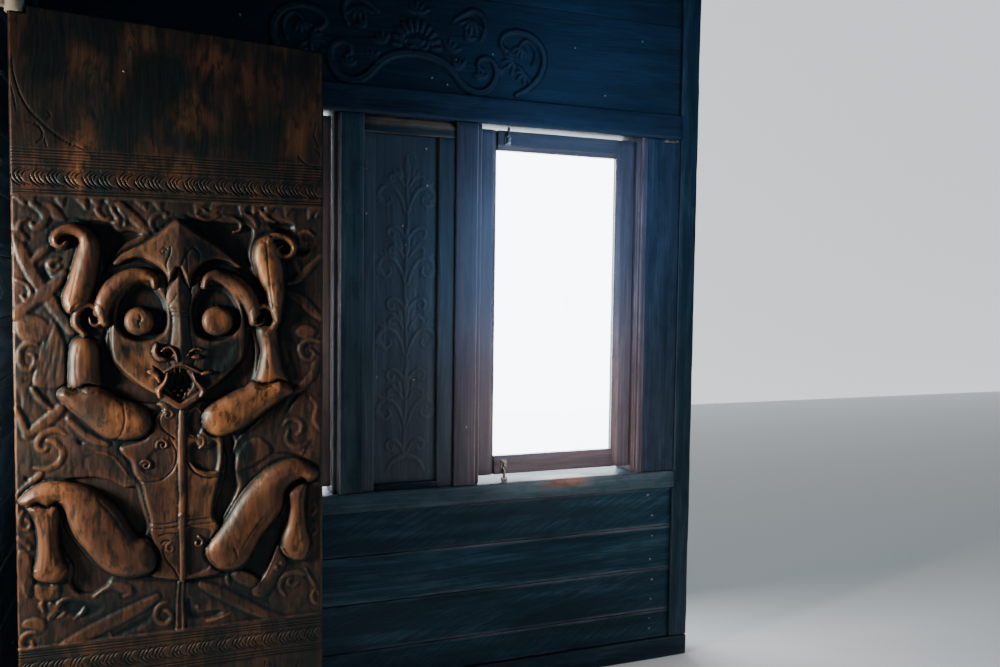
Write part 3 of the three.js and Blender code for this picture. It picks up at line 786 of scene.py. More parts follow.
leafSize = {
    "hinge": -1095.0, "free": -324.0, "bottom": 28.0, "hingeTop": 2104.0, "freeTop": 2064.0,
    "back": -392.0, "ground": -425.0, "seat": -419.0, "plain": 12.0, "field": 7.0,
    "notch": -1053.0, "notchLow": 2082.0, "notchHigh": 2101.8, "slopeFrom": 1960.0,
    "carvedFrom": 480.0, "carvedTo": 1640.0, "middle": -703.0, "deepest": -14.0, "highest": 36.0,
    "carvingStep": 2.25, "braidStep": 1.9, "guardianLimit": 196000,
}
pivot = {"x": -1081.0, "y": -418.0, "bore": 14.0, "outer": 22.0, "low": 2083.0, "high": 2150.0, "pin": 13.0}


def mirrorLeaf(points):
    return [(2 * leafSize["middle"] - p[0], *p[1:]) for p in points]


def span(low, high, step):
    # even places from low to high
    return np.linspace(low, high, max(2, int(round((high - low) / step)) + 1))


def paleArrisHighlight(relief):
    # the leaf's upright edges are rounded, and a pale painted highlight runs along them where they catch the
    # light
    easing = 6.0
    for edge, reach, pale in ((leafSize["hinge"], 5.0, 1.0), (leafSize["free"], 7.0, 0.7)):
        near = smoothStep(1 - np.abs(relief["x"] - edge) / reach)[None, :]
        relief["h"] -= easing * near
        relief["rub"] = np.maximum(relief["rub"], pale * smoothStep(near * 2.5))


def patchy(relief, patches, seed):
    # soft, ragged patches: place, reach, and how far each darkens (below 0) or warms the timber (above 0)
    gridX, gridZ = np.meshgrid(relief["x"], relief["z"])
    ragged = 0.34 * latticeNoise(gridX / 30, gridZ / 70, seed)
    ragged = ragged + 0.26 * latticeNoise(gridX / 9, gridZ / 30, seed + 1)
    for x, z, reachX, reachZ, amount in patches:
        near = smoothStep(1.4 - np.hypot((gridX - x) / reachX, (gridZ - z) / reachZ) + ragged)
        relief["shade"] += amount * near
        kept = relief["rub"] * (1 + 2.2 * min(amount, 0) * near)
        relief["rub"] = np.clip(kept + 1.6 * max(amount, 0) * near, 0, 1)


def columnsOfLeaf(step):
    # even columns, and closer ones where the edges are rounded
    hinge, free = leafSize["hinge"], leafSize["free"]
    edges = [hinge + 1.0, hinge + 2.2, hinge + 3.6, free - 1.2, free - 3.0]
    return np.unique(np.concatenate([span(hinge, free, step), edges]))


def sinkGround(relief):
    # the ground sinks away beside the head, the waist and the legs
    hollows = [
        ([(-962, 1592), (-925, 1582), (-905, 1584), (-868, 1577), (-850, 1556), (-822, 1560), (-792, 1546),
          (-835, 1516), (-862, 1484), (-884, 1440), (-897, 1402), (-890, 1480), (-895, 1530), (-930, 1568)],
         -13),
        ([(-692, 1604), (-645, 1594), (-560, 1588), (-512, 1570), (-522, 1500), (-508, 1450), (-486, 1398),
          (-540, 1430), (-560, 1466), (-608, 1512), (-655, 1562)], -13),
        ([(-888, 1300), (-900, 1250), (-898, 1183), (-884, 1140), (-850, 1116), (-800, 1100), (-745, 1098),
          (-755, 1125), (-810, 1160), (-860, 1210), (-880, 1262), (-874, 1300)], -13),
        ([(-520, 1300), (-508, 1250), (-508, 1183), (-518, 1150), (-545, 1130), (-590, 1110), (-650, 1100),
          (-645, 1128), (-596, 1160), (-546, 1210), (-530, 1262), (-532, 1300)], -13),
        ([(-985, 912), (-920, 918), (-870, 905), (-838, 885), (-810, 884), (-796, 830), (-784, 780),
          (-786, 757), (-802, 748), (-828, 760), (-850, 800), (-880, 840), (-930, 880)], -13),
        ([(-600, 1010), (-566, 1004), (-560, 960), (-558, 900), (-552, 862), (-566, 825), (-588, 788),
          (-600, 757), (-618, 765), (-618, 800), (-608, 850), (-592, 900), (-590, 950)], -13),
        ([(-560, 1004), (-530, 1030), (-498, 1054), (-505, 1042), (-535, 1016), (-556, 990)], -8),
        ([(-994, 846), (-985, 800), (-965, 760), (-938, 718), (-905, 676), (-872, 644), (-905, 606),
          (-950, 606), (-975, 640), (-970, 680), (-990, 720), (-998, 770)], -12),
        ([(-428, 845), (-434, 800), (-455, 764), (-488, 727), (-510, 690), (-532, 652), (-550, 626),
          (-508, 592), (-484, 602), (-462, 646), (-442, 696), (-428, 760)], -12),
        ([(-478, 1592), (-440, 1598), (-404, 1590), (-404, 1562), (-430, 1562), (-458, 1568)], -6),
        ([(-1026, 1472), (-1010, 1446), (-1000, 1424), (-1012, 1420), (-1030, 1446)], -3),
        ([(-410, 1532), (-380, 1530), (-356, 1520), (-372, 1500), (-402, 1504)], -2),
        ([(-956, 1030), (-942, 1014), (-930, 1004), (-950, 1000)], -7),
        ([(-1050, 952), (-1030, 948), (-1036, 930)], -6), ([(-1078, 934), (-1058, 922), (-1068, 906)], -6),
        ([(-1088, 1160), (-1075, 1130), (-1075, 1106), (-1082, 1090)], -6),
        ([(-880, 490), (-850, 510), (-800, 536), (-772, 542), (-778, 515), (-800, 500), (-850, 484)], 2),
        ([(-1000, 600), (-960, 604), (-925, 592), (-890, 568), (-930, 540), (-985, 560)], 3),
        ([(-435, 1050), (-420, 1100), (-396, 1132), (-388, 1160), (-376, 1130), (-420, 1060)], -2),
        ([(-470, 950), (-430, 958), (-384, 944), (-352, 918), (-338, 890), (-372, 926), (-430, 944)], -5),
    ]
    for outline, level in hollows:
        sinkPlate(relief, outline, level, 13.0, 0.0)
        # painted shade deepens the colour of each sunk hollow
        area, depth = plateField(relief, outline, 2.0)
        relief["shade"][area] -= 0.10 * smoothStep(depth / 16)


def carveScrolls(relief):
    # leaf tips that hang from the border above
    for k, x in enumerate((-1078, -1054, -985, -940, -905, -868, -800, -757)):
        lean = 18 - 6 * (k % 3)
        tip = [(x, 1642, 17), (x + lean * 0.4, 1628, 12), (x + lean, 1608 - 6 * (k % 2), 2)]
        raiseStrokes(relief, (tip, mirrorLeaf(tip)), 3, 7, "flat", 2.6, 7, 0.2)

    # broad straps and leaves of the background, level with the frame and parted by narrow cuts
    leaves = [
        [(-1036, 1600), (-1014, 1622), (-984, 1604), (-970, 1572), (-996, 1578), (-1020, 1588)],
        [(-1082, 1338), (-1040, 1336), (-1014, 1318), (-1010, 1294), (-1026, 1270), (-1060, 1266),
         (-1086, 1290)],
        [(-1000, 1326), (-1012, 1290), (-1026, 1248), (-1040, 1204), (-1052, 1162), (-1022, 1150),
         (-990, 1150), (-974, 1166), (-972, 1220), (-976, 1262), (-986, 1292)],
        [(-1092, 735), (-1076, 740), (-1060, 715), (-1054, 670), (-1060, 630), (-1072, 612), (-1084, 640),
         (-1096, 690)], [(-1054, 646), (-1020, 640), (-996, 642), (-1000, 606), (-1026, 600), (-1050, 610)],
        [(-1086, 540), (-1076, 556), (-1050, 562), (-1030, 545), (-1036, 520), (-1060, 530)],
        [(-398, 1298), (-375, 1310), (-345, 1302), (-345, 1280), (-370, 1270), (-394, 1278)],
        [(-572, 622), (-545, 630), (-512, 614), (-498, 598), (-518, 578), (-545, 590), (-562, 602)],
        [(-562, 908), (-520, 918), (-484, 938), (-462, 958), (-472, 978), (-500, 1000), (-532, 990),
         (-556, 955)],
        [(-446, 694), (-458, 652), (-480, 606), (-518, 562), (-490, 548), (-462, 572), (-440, 610),
         (-426, 640), (-432, 664)],
    ]
    raisePlates(relief, leaves, 3, 7, 8, 2.4, 8, 0.28)
    broad = [
        [(-1082, 1535, 14), (-1066, 1480, 17), (-1040, 1425, 18), (-1012, 1378, 18), (-985, 1335, 17),
         (-960, 1296, 14)], [(-1090, 1336, 15), (-1050, 1368, 17), (-1010, 1402, 17), (-976, 1440, 13)],
        [(-1066, 1030, 12), (-1028, 1060, 16), (-1000, 1085, 16), (-984, 1102, 12)],
        [(-1098, 868, 10), (-1066, 900, 12), (-1038, 930, 9)],
        [(-846, 1622, 12), (-812, 1588, 14), (-782, 1558, 11)],
        [(-1006, 1512, 8), (-1026, 1494, 11), (-1046, 1472, 8)],
        [(-1052, 1150, 7), (-1036, 1122, 9), (-1012, 1098, 6)],
        [(-972, 1070, 7), (-945, 1038, 10), (-912, 1012, 11), (-880, 1000, 7)],
        [(-985, 478, 16), (-940, 500, 20), (-890, 520, 21), (-840, 543, 20), (-795, 564, 16),
         (-762, 582, 8)],
        [(-440, 480, 13), (-480, 496, 15), (-520, 520, 17), (-570, 553, 18), (-615, 580, 16),
         (-652, 602, 9)], [(-412, 1118, 8), (-380, 1140, 12), (-352, 1172, 12), (-340, 1220, 9)],
        [(-330, 1502, 7), (-362, 1470, 11), (-392, 1440, 12), (-422, 1426, 7)],
        [(-424, 1402, 10), (-385, 1380, 15), (-350, 1346, 13), (-328, 1330, 10)],
        [(-412, 1498, 6), (-398, 1472, 9), (-388, 1450, 6)],
        [(-1090, 1100, 8), (-1074, 1062, 10), (-1068, 1030, 8)],
    ]
    raiseStrokes(relief, broad, 3.4, 7, "flat", 2.6, 8, 0.28)
    scrolls = [
        [(-1048, 1614, 8), (-1026, 1600, 10), (-1017, 1578, 12), (-1030, 1560, 10), (-1046, 1558, 7),
         (-1050, 1570, 4)], [(-1064, 1528, 9), (-1078, 1548, 8), (-1074, 1568, 7), (-1058, 1577, 4)],
        [(-902, 1608, 6), (-892, 1592, 7), (-880, 1582, 6), (-868, 1588, 4)],
        [(-866, 1612, 5), (-858, 1598, 7), (-846, 1581, 9), (-859, 1574, 5)],
        [(-848, 1608, 4), (-834, 1590, 5), (-834, 1568, 4)],
        [(-720, 1600, 4), (-738, 1592, 4), (-734, 1604, 5), (-756, 1602, 7), (-771, 1582, 8),
         (-766, 1560, 7), (-748, 1548, 4)],
        [(-988, 1478, 5), (-1006, 1472, 8), (-1010, 1458, 7), (-996, 1450, 5), (-985, 1462, 4)],
        [(-1084, 1424, 4), (-1062, 1414, 5), (-1052, 1392, 6), (-1062, 1372, 6), (-1074, 1386, 4)],
        [(-1040, 1262, 5), (-1062, 1266, 7), (-1079, 1244, 8), (-1077, 1212, 8), (-1060, 1197, 7),
         (-1047, 1212, 6), (-1047, 1234, 6), (-1058, 1238, 4)],
        [(-978, 1030, 4), (-994, 1043, 8), (-1018, 1040, 9), (-1038, 1024, 9), (-1043, 1002, 8),
         (-1032, 990, 7), (-1020, 997, 5)],
        [(-1022, 1017, 4), (-1000, 1009, 8), (-986, 985, 9), (-994, 958, 9), (-1020, 944, 8),
         (-1052, 948, 4)],
        [(-1078, 838, 4), (-1086, 815, 6), (-1082, 796, 6), (-1068, 790, 6), (-1061, 806, 6),
         (-1071, 816, 4)], [(-1092, 768, 7), (-1076, 760, 9), (-1064, 742, 7)],
        [(-1036, 606, 3), (-1040, 589, 7), (-1034, 574, 4)],
        [(-1018, 592, 7), (-1010, 572, 9), (-1022, 554, 6)],
        [(-972, 603, 3), (-992, 598, 5), (-1004, 584, 6), (-1000, 571, 3)],
        [(-984, 567, 3), (-992, 558, 4), (-1004, 553, 3)], [(-938, 573, 3), (-948, 558, 4), (-966, 545, 3)],
        [(-920, 596, 3), (-900, 612, 6), (-872, 622, 9), (-846, 614, 14), (-830, 602, 11), (-844, 592, 5)],
        [(-738, 565, 4), (-758, 556, 6), (-768, 536, 7), (-762, 514, 7), (-744, 504, 7), (-728, 518, 7),
         (-734, 536, 6), (-746, 540, 4)],
        [(-1046, 520, 4), (-1064, 524, 6), (-1082, 514, 7), (-1088, 494, 7), (-1076, 479, 6),
         (-1061, 486, 6), (-1064, 500, 4)],
        [(-590, 1602, 4), (-566, 1599, 6), (-546, 1585, 7), (-548, 1567, 6), (-566, 1561, 5)],
        [(-655, 1600, 4), (-632, 1590, 7), (-602, 1606, 4)],
        [(-650, 1624, 3), (-622, 1608, 6), (-600, 1622, 3)],
        [(-540, 1614, 5), (-515, 1600, 8), (-505, 1580, 5)],
        [(-496, 1624, 5), (-478, 1604, 7), (-456, 1592, 4)],
        [(-350, 1558, 4), (-368, 1571, 6), (-388, 1562, 6), (-387, 1543, 6), (-370, 1537, 4)],
        [(-330, 1262, 5), (-360, 1268, 7), (-386, 1250, 8), (-382, 1222, 8), (-360, 1212, 7),
         (-346, 1226, 6), (-358, 1240, 4)],
        [(-434, 1028, 4), (-418, 1044, 7), (-396, 1044, 8), (-381, 1028, 8), (-384, 1008, 7),
         (-398, 1002, 4)],
        [(-418, 1016, 4), (-424, 994, 8), (-414, 974, 9), (-392, 966, 9), (-366, 974, 4)],
        [(-352, 806, 4), (-343, 788, 6), (-353, 770, 4)], [(-350, 748, 4), (-341, 730, 6), (-350, 712, 4)],
        [(-372, 600, 5), (-392, 608, 7), (-420, 605, 8), (-440, 590, 8), (-441, 566, 7), (-428, 545, 5)],
        [(-390, 578, 4), (-404, 571, 6), (-419, 578, 6), (-418, 591, 5), (-407, 592, 3)],
        [(-372, 616, 3), (-358, 590, 6), (-344, 562, 6), (-334, 536, 4)],
        [(-344, 556, 4), (-354, 536, 6), (-348, 516, 6), (-336, 512, 4)],
        [(-583, 628, 3), (-584, 608, 6), (-580, 590, 3)],
        [(-330, 1010, 5), (-346, 1040, 8), (-340, 1080, 8), (-356, 1104, 5)],
    ]
    raiseStrokes(relief, scrolls, 3.2, 6.8, "flat", 2.8, 8, 0.26)
    ridges = [
        [(-908, 980, 2), (-886, 975, 2.6), (-866, 961, 2.6), (-848, 937, 2.6), (-828, 905, 2)],
        [(-572, 955, 2.4), (-560, 985, 3), (-540, 1010, 3), (-515, 1030, 3), (-494, 1050, 2.4)],
        [(-400, 640, 2.4), (-378, 644, 3.4), (-362, 662, 3.4), (-356, 684, 2)],
        [(-1016, 642, 2.4), (-992, 650, 3.4), (-978, 668, 3.4), (-972, 690, 2)],
        [(-640, 498, 2.4), (-608, 502, 3), (-575, 514, 2.4)], [(-376, 960, 2.4), (-383, 942, 3)],
        [(-450, 690, 2), (-464, 648, 2.6), (-486, 604, 2.6), (-518, 566, 2)],
        [(-884, 500, 2.4), (-876, 484, 3), (-880, 470, 2.4)],
        [(-1004, 1330, 2), (-1018, 1286, 2.6), (-1034, 1230, 2.6), (-1050, 1168, 2)],
    ]
    raiseStrokes(relief, ridges, 4.5, 6.5, "round", 2.6, 7, 0.5)
    cuts = [
        [(-916, 972, 2), (-931, 970, 2.6), (-937, 955, 2.6), (-933, 940, 2)],
        [(-975, 950, 2), (-978, 934, 3)], [(-958, 946, 2), (-962, 930, 3)],
        [(-1079, 1640, 2), (-1079, 1590, 2.4), (-1082, 1545, 2)],
        [(-1022, 1176, 2), (-1008, 1225, 2.6), (-996, 1290, 1.8)],
        [(-1002, 1170, 2), (-992, 1225, 2.6), (-986, 1280, 1.8)],
        [(-1040, 1166, 2), (-1026, 1210, 2.6), (-1016, 1250, 1.8)],
        [(-1016, 1160, 2), (-1023, 1134, 2.6), (-1010, 1118, 2)],
        [(-452, 1244, 2), (-440, 1200, 3), (-428, 1158, 2)],
        [(-434, 1280, 2), (-418, 1220, 3), (-398, 1165, 2)],
        [(-412, 1292, 2), (-396, 1240, 2.6), (-384, 1186, 2)],
        [(-390, 1262, 2), (-372, 1254, 2.4), (-340, 1262, 2)],
        [(-831, 634, 3), (-784, 628, 4), (-721, 618, 4), (-605, 618, 4), (-563, 626, 3)],
        [(-462, 560, 2), (-476, 542, 2.6), (-466, 520, 2)],
        [(-1062, 700, 2), (-1070, 660, 2.6), (-1074, 624, 2)],
        [(-520, 560, 2), (-560, 580, 2.6), (-610, 606, 2)],
        [(-1072, 1180, 2), (-1066, 1166, 3), (-1058, 1180, 2)],
    ]
    cutGrooves(relief, cuts, 3.2)
    eyeHole = [(-698, 566), (-680, 571), (-674, 544), (-652, 526), (-620, 528), (-590, 522), (-618, 503),
               (-655, 502), (-686, 514), (-698, 540)]
    sinkPlate(relief, eyeHole, 1, 7.0)
    ball(relief, -662, 541, 9, 8, 1, 0.5)
    for x, z, radius in ((-840, 602, 3.5), (-1066, 1396, 3.5), (-412, 583, 2.5), (-452, 628, 5),
                         (-438, 640, 4)):
        ball(relief, x, z, radius, -7 if radius < 4 else 6, 12, 0.1, 0.0)

    # long use has softened the background
    relief["h"] = boxBlur(boxBlur(relief["h"], 1), 1)


def carveTorso(relief):
    # torso, with its spine, chest scrolls and belt
    torso = [(-757, 1106), (-748, 1085), (-772, 1060), (-790, 1012), (-852, 989), (-826, 947), (-818, 916),
             (-800, 884), (-792, 842), (-781, 795), (-781, 763), (-773, 726), (-760, 695), (-763, 668),
             (-780, 640), (-721, 622), (-640, 622), (-600, 636), (-625, 690), (-612, 725), (-602, 758),
             (-618, 790), (-615, 842), (-602, 889), (-594, 940), (-594, 1000), (-612, 1030), (-650, 1085),
             (-645, 1106)]
    raisePlate(relief, torso, 16, 0, 9, 2.5, 10, 0.34)
    bowls = [
        ([(-668, 1088), (-690, 1060), (-690, 1030), (-672, 1010), (-652, 1016), (-642, 1045), (-648, 1075)],
         10, 6),
        ([(-686, 985), (-686, 945), (-667, 914), (-636, 900), (-610, 905), (-600, 940), (-602, 988),
          (-622, 1002), (-634, 985), (-650, 984), (-664, 1000)], 8, 12),
        ([(-752, 898), (-720, 925), (-713, 968), (-728, 1003), (-752, 1006), (-770, 985), (-790, 960),
          (-802, 925)], 13, 10),
        ([(-690, 760), (-650, 762), (-622, 750), (-634, 700), (-626, 660), (-640, 640), (-690, 640)], 12,
         6),
    ]
    for outline, level, slope in bowls:
        sinkPlate(relief, outline, level, slope, 0.16)
    chest = [
        [(-742, 1086, 3), (-755, 1062, 3.5), (-748, 1036, 3.5), (-716, 1006, 3)],
        [(-731, 1008, 3), (-713, 968, 3.6), (-721, 926, 3.6), (-747, 900, 3.6), (-773, 895, 3.4),
         (-802, 897, 3)],
        [(-672, 1092, 3), (-692, 1062, 3.4), (-692, 1030, 3.4), (-674, 1008, 3), (-650, 1012, 3)],
        [(-688, 985, 3), (-688, 947, 3.6), (-669, 914, 3.6), (-636, 896, 3.6), (-606, 897, 3)],
        [(-752, 726, 3), (-742, 734, 3), (-731, 730, 3), (-747, 711, 3), (-742, 684, 3), (-721, 653, 3),
         (-712, 630, 3)], [(-778, 782, 2.4), (-740, 779, 2.6), (-700, 784, 2.6), (-618, 786, 2.4)],
        [(-778, 769, 2.4), (-740, 767, 2.6), (-700, 770, 2.6), (-616, 772, 2.4)],
        [(-757, 748, 2.4), (-735, 752, 2.6), (-712, 750, 2.4)],
    ]
    cutGrooves(relief, chest, 4.2)
    raisedCurls = [
        curl(-733, 1072, 14, 1.2, 120, -1, 4.5),
        curl(-747, 992, 15, 1.3, 200, -1, 5),
        curl(-788, 940, 14, 1.3, 160, -1, 5),
        [(-657, 1012, 4), (-644, 1003, 5), (-645, 986, 5), (-655, 978, 3)],
        [(-680, 940, 2), (-662, 918, 6), (-636, 906, 8), (-612, 908, 4)],
        curl(-728, 712, 15, 0.9, 100, 1, 5), curl(-660, 720, 15, 0.9, 80, -1, 4.5),
    ]
    raiseStrokes(relief, raisedCurls, 5, 13, "round", 2.0, 5, 0.5)
    spine = [(-696, 1106, 8), (-699, 1040, 9), (-700, 940, 10), (-699, 860, 9), (-700, 790, 9),
             (-699, 700, 8), (-700, 622, 7)]
    raiseStroke(relief, spine, 6, 14, "flat", 2.5, 6, 0.4)
    raiseStroke(relief, [(-703, 622, 9), (-706, 560, 12), (-706, 482, 15)], 10, 0, "strap", 2.5, 5, 0.4)
    ball(relief, -701, 798, 9, 5, 18, 0.6)


def carveArms(relief):
    # forearms stand up beside the head, upper arms slant in to the shoulders
    leftForearm = [(-966, 1140), (-972, 1200), (-969, 1250), (-957, 1276), (-930, 1284), (-906, 1272),
                   (-896, 1240), (-896, 1190), (-898, 1140)]
    rightForearm = [(-505, 1138), (-501, 1200), (-495, 1240), (-506, 1296), (-484, 1312), (-452, 1302),
                    (-446, 1250), (-436, 1200), (-420, 1138)]
    raisePlates(relief, (leftForearm, rightForearm), 29, 0, 33, 2.5, 10, 0.72)
    cutGrooves(relief, [[(-947, 1150, 3), (-951, 1210, 5), (-944, 1262, 3)],
                        [(-478, 1150, 3), (-476, 1205, 5), (-480, 1270, 3)]], 1.0)
    leftUpperArm = [(-998, 1132), (-981, 1153), (-950, 1148), (-930, 1160), (-899, 1155), (-878, 1142),
                    (-847, 1121), (-805, 1103), (-780, 1084), (-769, 1060), (-773, 1034), (-792, 1013),
                    (-830, 1004), (-860, 1008), (-884, 1013), (-915, 1037), (-952, 1074), (-978, 1100)]
    rightUpperArm = [(-640, 1086), (-600, 1113), (-563, 1132), (-536, 1142), (-515, 1156), (-478, 1150),
                     (-450, 1160), (-420, 1150), (-404, 1121), (-436, 1100), (-478, 1072), (-531, 1030),
                     (-568, 1012), (-606, 1004), (-638, 1020), (-650, 1050)]
    raisePlates(relief, (leftUpperArm, rightUpperArm), 33, 0, 40, 2.8, 11, 0.72)
    cutGrooves(relief, [
        [(-862, 1010, 2.5), (-846, 1030, 3.5), (-838, 1070, 3.5), (-846, 1118, 2.5)],
        [(-972, 1140, 2), (-955, 1134, 3), (-940, 1141, 3), (-922, 1134, 3), (-900, 1141, 3),
         (-884, 1136, 2)],
        [(-508, 1142, 2), (-490, 1134, 3), (-470, 1141, 3), (-450, 1134, 3), (-428, 1140, 2)],
        curl(-792, 1046, 26, 0.8, 60, -1, 3.2), curl(-622, 1050, 26, 0.8, 120, 1, 3.2),
        [(-985, 1112, 1.6), (-940, 1078, 2.2), (-900, 1040, 1.6)],
    ], 2.0)


def carveLegs(relief):
    # shins first, then thighs and knees over them
    leftShin = [(-1073, 856), (-1058, 821), (-1049, 779), (-1049, 726), (-1057, 684), (-1055, 662),
                (-1031, 648), (-1003, 646), (-983, 660), (-977, 684), (-992, 726), (-996, 779), (-996, 845)]
    rightShin = [(-422, 845), (-421, 800), (-426, 753), (-440, 704), (-434, 668), (-406, 642), (-380, 643),
                 (-366, 658), (-358, 695), (-368, 737), (-373, 800), (-371, 866)]
    raisePlates(relief, (leftShin, rightShin), 28, 0, 27, 2.8, 11, 0.6)
    cutGrooves(relief, [
        [(-1044, 830, 3), (-1032, 790, 5), (-1030, 730, 5), (-1034, 690, 3)],
        [(-1018, 838, 2), (-1013, 770, 4), (-1012, 700, 3)],
        [(-402, 838, 3), (-398, 780, 5), (-402, 710, 3)], [(-386, 840, 2), (-384, 780, 3), (-382, 700, 2)],
    ], 1.2)
    raiseStrokes(relief, [[(-1052, 684, 3), (-1034, 664, 5), (-1004, 662, 5), (-982, 682, 3)],
                          [(-438, 684, 3), (-424, 664, 5), (-394, 658, 5), (-364, 676, 3)]], 4, 18, "round",
                 1.0, 6, 0.55)
    leftThigh = [(-1091, 862), (-1073, 889), (-1037, 911), (-997, 914), (-952, 902), (-915, 885),
                 (-878, 854), (-852, 822), (-831, 784), (-812, 754), (-790, 745), (-776, 735), (-762, 700),
                 (-763, 668), (-778, 648), (-810, 640), (-838, 639), (-878, 655), (-905, 679), (-936, 721),
                 (-963, 763), (-978, 800), (-988, 840), (-1004, 852), (-1020, 842), (-1045, 853),
                 (-1066, 845)]
    rightThigh = [(-606, 753), (-584, 784), (-563, 821), (-536, 858), (-505, 889), (-473, 916), (-436, 932),
                  (-399, 937), (-363, 923), (-336, 897), (-340, 874), (-366, 862), (-384, 872), (-410, 862),
                  (-426, 838), (-432, 800), (-457, 763), (-489, 726), (-510, 689), (-531, 653), (-563, 632),
                  (-598, 634), (-622, 648), (-643, 684), (-636, 714)]
    # the right thigh is rubbed lighter than the left, partly as a painted sheen
    raisePlate(relief, leftThigh, 35, 0, 46, 3.0, 12, 0.66)
    raisePlate(relief, rightThigh, 35, 0, 46, 3.0, 12, 1.0)
    cutGrooves(relief, [
        [(-1080, 852, 2), (-1052, 860, 3), (-1024, 850, 3), (-1000, 860, 3), (-985, 866, 2)],
        [(-345, 880, 2), (-370, 872, 3), (-392, 884, 3), (-412, 872, 2)],
        [(-795, 742, 2), (-772, 716, 3), (-768, 684, 3), (-784, 656, 2)],
        [(-612, 744, 2), (-634, 712, 3), (-630, 676, 3), (-612, 654, 2)],
        [(-572, 650, 2), (-560, 672, 3), (-566, 700, 2)],
        [(-545, 700, 1.6), (-520, 740, 2.4), (-490, 780, 1.6)],
        [(-905, 860, 1.6), (-870, 812, 2.4), (-840, 760, 1.6)],
    ], 3.4)


def carveHead(relief):
    # face, cheeks, sockets, cap, brows and eyes
    face = [(-870, 1330), (-872, 1260), (-866, 1220), (-848, 1197), (-826, 1174), (-800, 1150),
            (-768, 1128), (-735, 1106), (-700, 1094), (-668, 1106), (-638, 1128), (-606, 1150),
            (-580, 1174), (-558, 1197), (-540, 1220), (-534, 1260), (-536, 1330), (-544, 1370),
            (-566, 1410), (-606, 1440), (-646, 1445), (-703, 1450), (-760, 1445), (-800, 1440),
            (-840, 1410), (-862, 1370)]
    raisePlate(relief, face, 17, 0, 9, 3.0, 10, 0.26)
    cheek = [(-850, 1262), (-838, 1215), (-800, 1178), (-772, 1160), (-760, 1200), (-775, 1250),
             (-810, 1268)]
    for outline in (cheek, mirrorLeaf(cheek)):
        sinkPlate(relief, outline, 13, 26.0)
    leftSocket = [(-864, 1330), (-857, 1367), (-832, 1405), (-800, 1424), (-762, 1415), (-738, 1385),
                  (-728, 1350), (-731, 1302), (-748, 1276), (-790, 1262), (-835, 1274), (-858, 1300)]
    for outline in (leftSocket, mirrorLeaf(leftSocket)):
        sinkPlate(relief, outline, 0, 16.0, 0.1)
    cap = [(-703, 1591), (-740, 1568), (-783, 1531), (-823, 1508), (-846, 1494), (-866, 1468), (-846, 1466),
           (-827, 1478), (-797, 1484), (-770, 1472), (-750, 1457), (-738, 1436), (-732, 1405), (-703, 1396),
           (-676, 1405), (-668, 1436), (-656, 1457), (-638, 1472), (-610, 1482), (-580, 1478), (-560, 1466),
           (-540, 1464), (-548, 1474), (-600, 1522), (-655, 1561)]
    raisePlate(relief, cap, 21, 0, 10, 3.5, 10, 0.36)
    area, depth = plateField(relief, cap, 0.0)
    crestHeight, crestWidth = 15, 110.0
    aside = np.abs(relief["x"][area[1]] - leafSize["middle"])[None, :]
    crest = np.clip(1 - aside / crestWidth, -0.5, 1)
    relief["h"][area] += np.where(depth > 0, crestHeight * crest * smoothStep(depth / 14), 0)
    cutGrooves(relief, [
        [(-724, 1516, 2.2), (-726, 1496, 3), (-735, 1470, 2.6), (-730, 1448, 2)],
        [(-686, 1512, 2.2), (-690, 1490, 3), (-700, 1462, 2.2)], curl(-741, 1503, 10, 1.1, 30, 1, 2.6),
        [(-682, 1450, 2), (-684, 1495, 2.6), (-668, 1515, 2.6), (-653, 1498, 2.4), (-655, 1478, 2)],
    ], 3.4)
    brows = [
        [(-884, 1318, 14), (-890, 1352, 25), (-871, 1397, 27), (-845, 1424, 25), (-818, 1438, 22),
         (-791, 1442, 19), (-769, 1434, 14), (-764, 1412, 8)],
        [(-514, 1318, 13), (-514, 1350, 22), (-530, 1388, 26), (-556, 1416, 26), (-584, 1434, 23),
         (-612, 1442, 20), (-634, 1434, 14), (-641, 1412, 8)],
    ]
    raiseStrokes(relief, brows, 31, 0, "round", 3.5, 10, 0.66)
    for x, z, radius in ((-802, 1320, 38.5), (-607, 1320, 41.5)):
        ball(relief, x, z, radius, 29, 1, 0.6, 5.0, "disc")
    cutGrooves(relief, [[(-801, 1338, 1.5), (-797, 1326, 2.4), (-803, 1316, 2.2), (-799, 1303, 1.4)],
                        [(-811, 1325, 1.2), (-797, 1321, 1.8)]], 4.0)


def carveNose(relief):
    # a sharp ridge parts its lit and its shaded side
    nose = [(-705, 1456, 8), (-706, 1393, 30), (-704, 1352, 22), (-702, 1330, 20), (-701, 1290, 22),
            (-700, 1250, 27), (-698, 1218, 30), (-697, 1206, 14)]
    raiseStroke(relief, nose, 9, 16, "roof", 3.0, 6, 0.55, True)
    for z in (1353, 1343, 1333):
        cutGroove(relief, [(-729, z, 2.0), (-703, z + 2, 2.2), (-678, z - 2, 2.0)], 3.0)
    cutGrooves(relief, [[(-705, 1446, 1.5), (-735, 1393, 2.4), (-728, 1358, 1.6)],
                        [(-707, 1395, 1.5), (-728, 1362, 2.2)],
                        [(-702, 1446, 1.5), (-673, 1393, 2.2), (-680, 1358, 1.6)]], 2.6)
    nostrils = [
        ([(-749, 1241, 3), (-738, 1250, 4), (-724, 1250, 4.5), (-714, 1238, 4.5), (-709, 1214, 3)], 8, 22),
        ([(-761, 1258, 5), (-764, 1240, 8), (-755, 1225, 9.5), (-741, 1221, 7)], 15, 15),
        ([(-646, 1243, 3), (-660, 1247, 4), (-672, 1243, 4), (-684, 1228, 3)], 6, 18),
        ([(-668, 1225, 6), (-655, 1225, 7)], 12, 14),
    ]
    for path, height, base in nostrils:
        raiseStroke(relief, path, height, base, "round", 4.0, 5, 0.6)
    ball(relief, -730, 1234, 8, -17, 15, 0.0, 0.0)
    ball(relief, -674, 1233, 5, -14, 14, 0.0, 0.0)


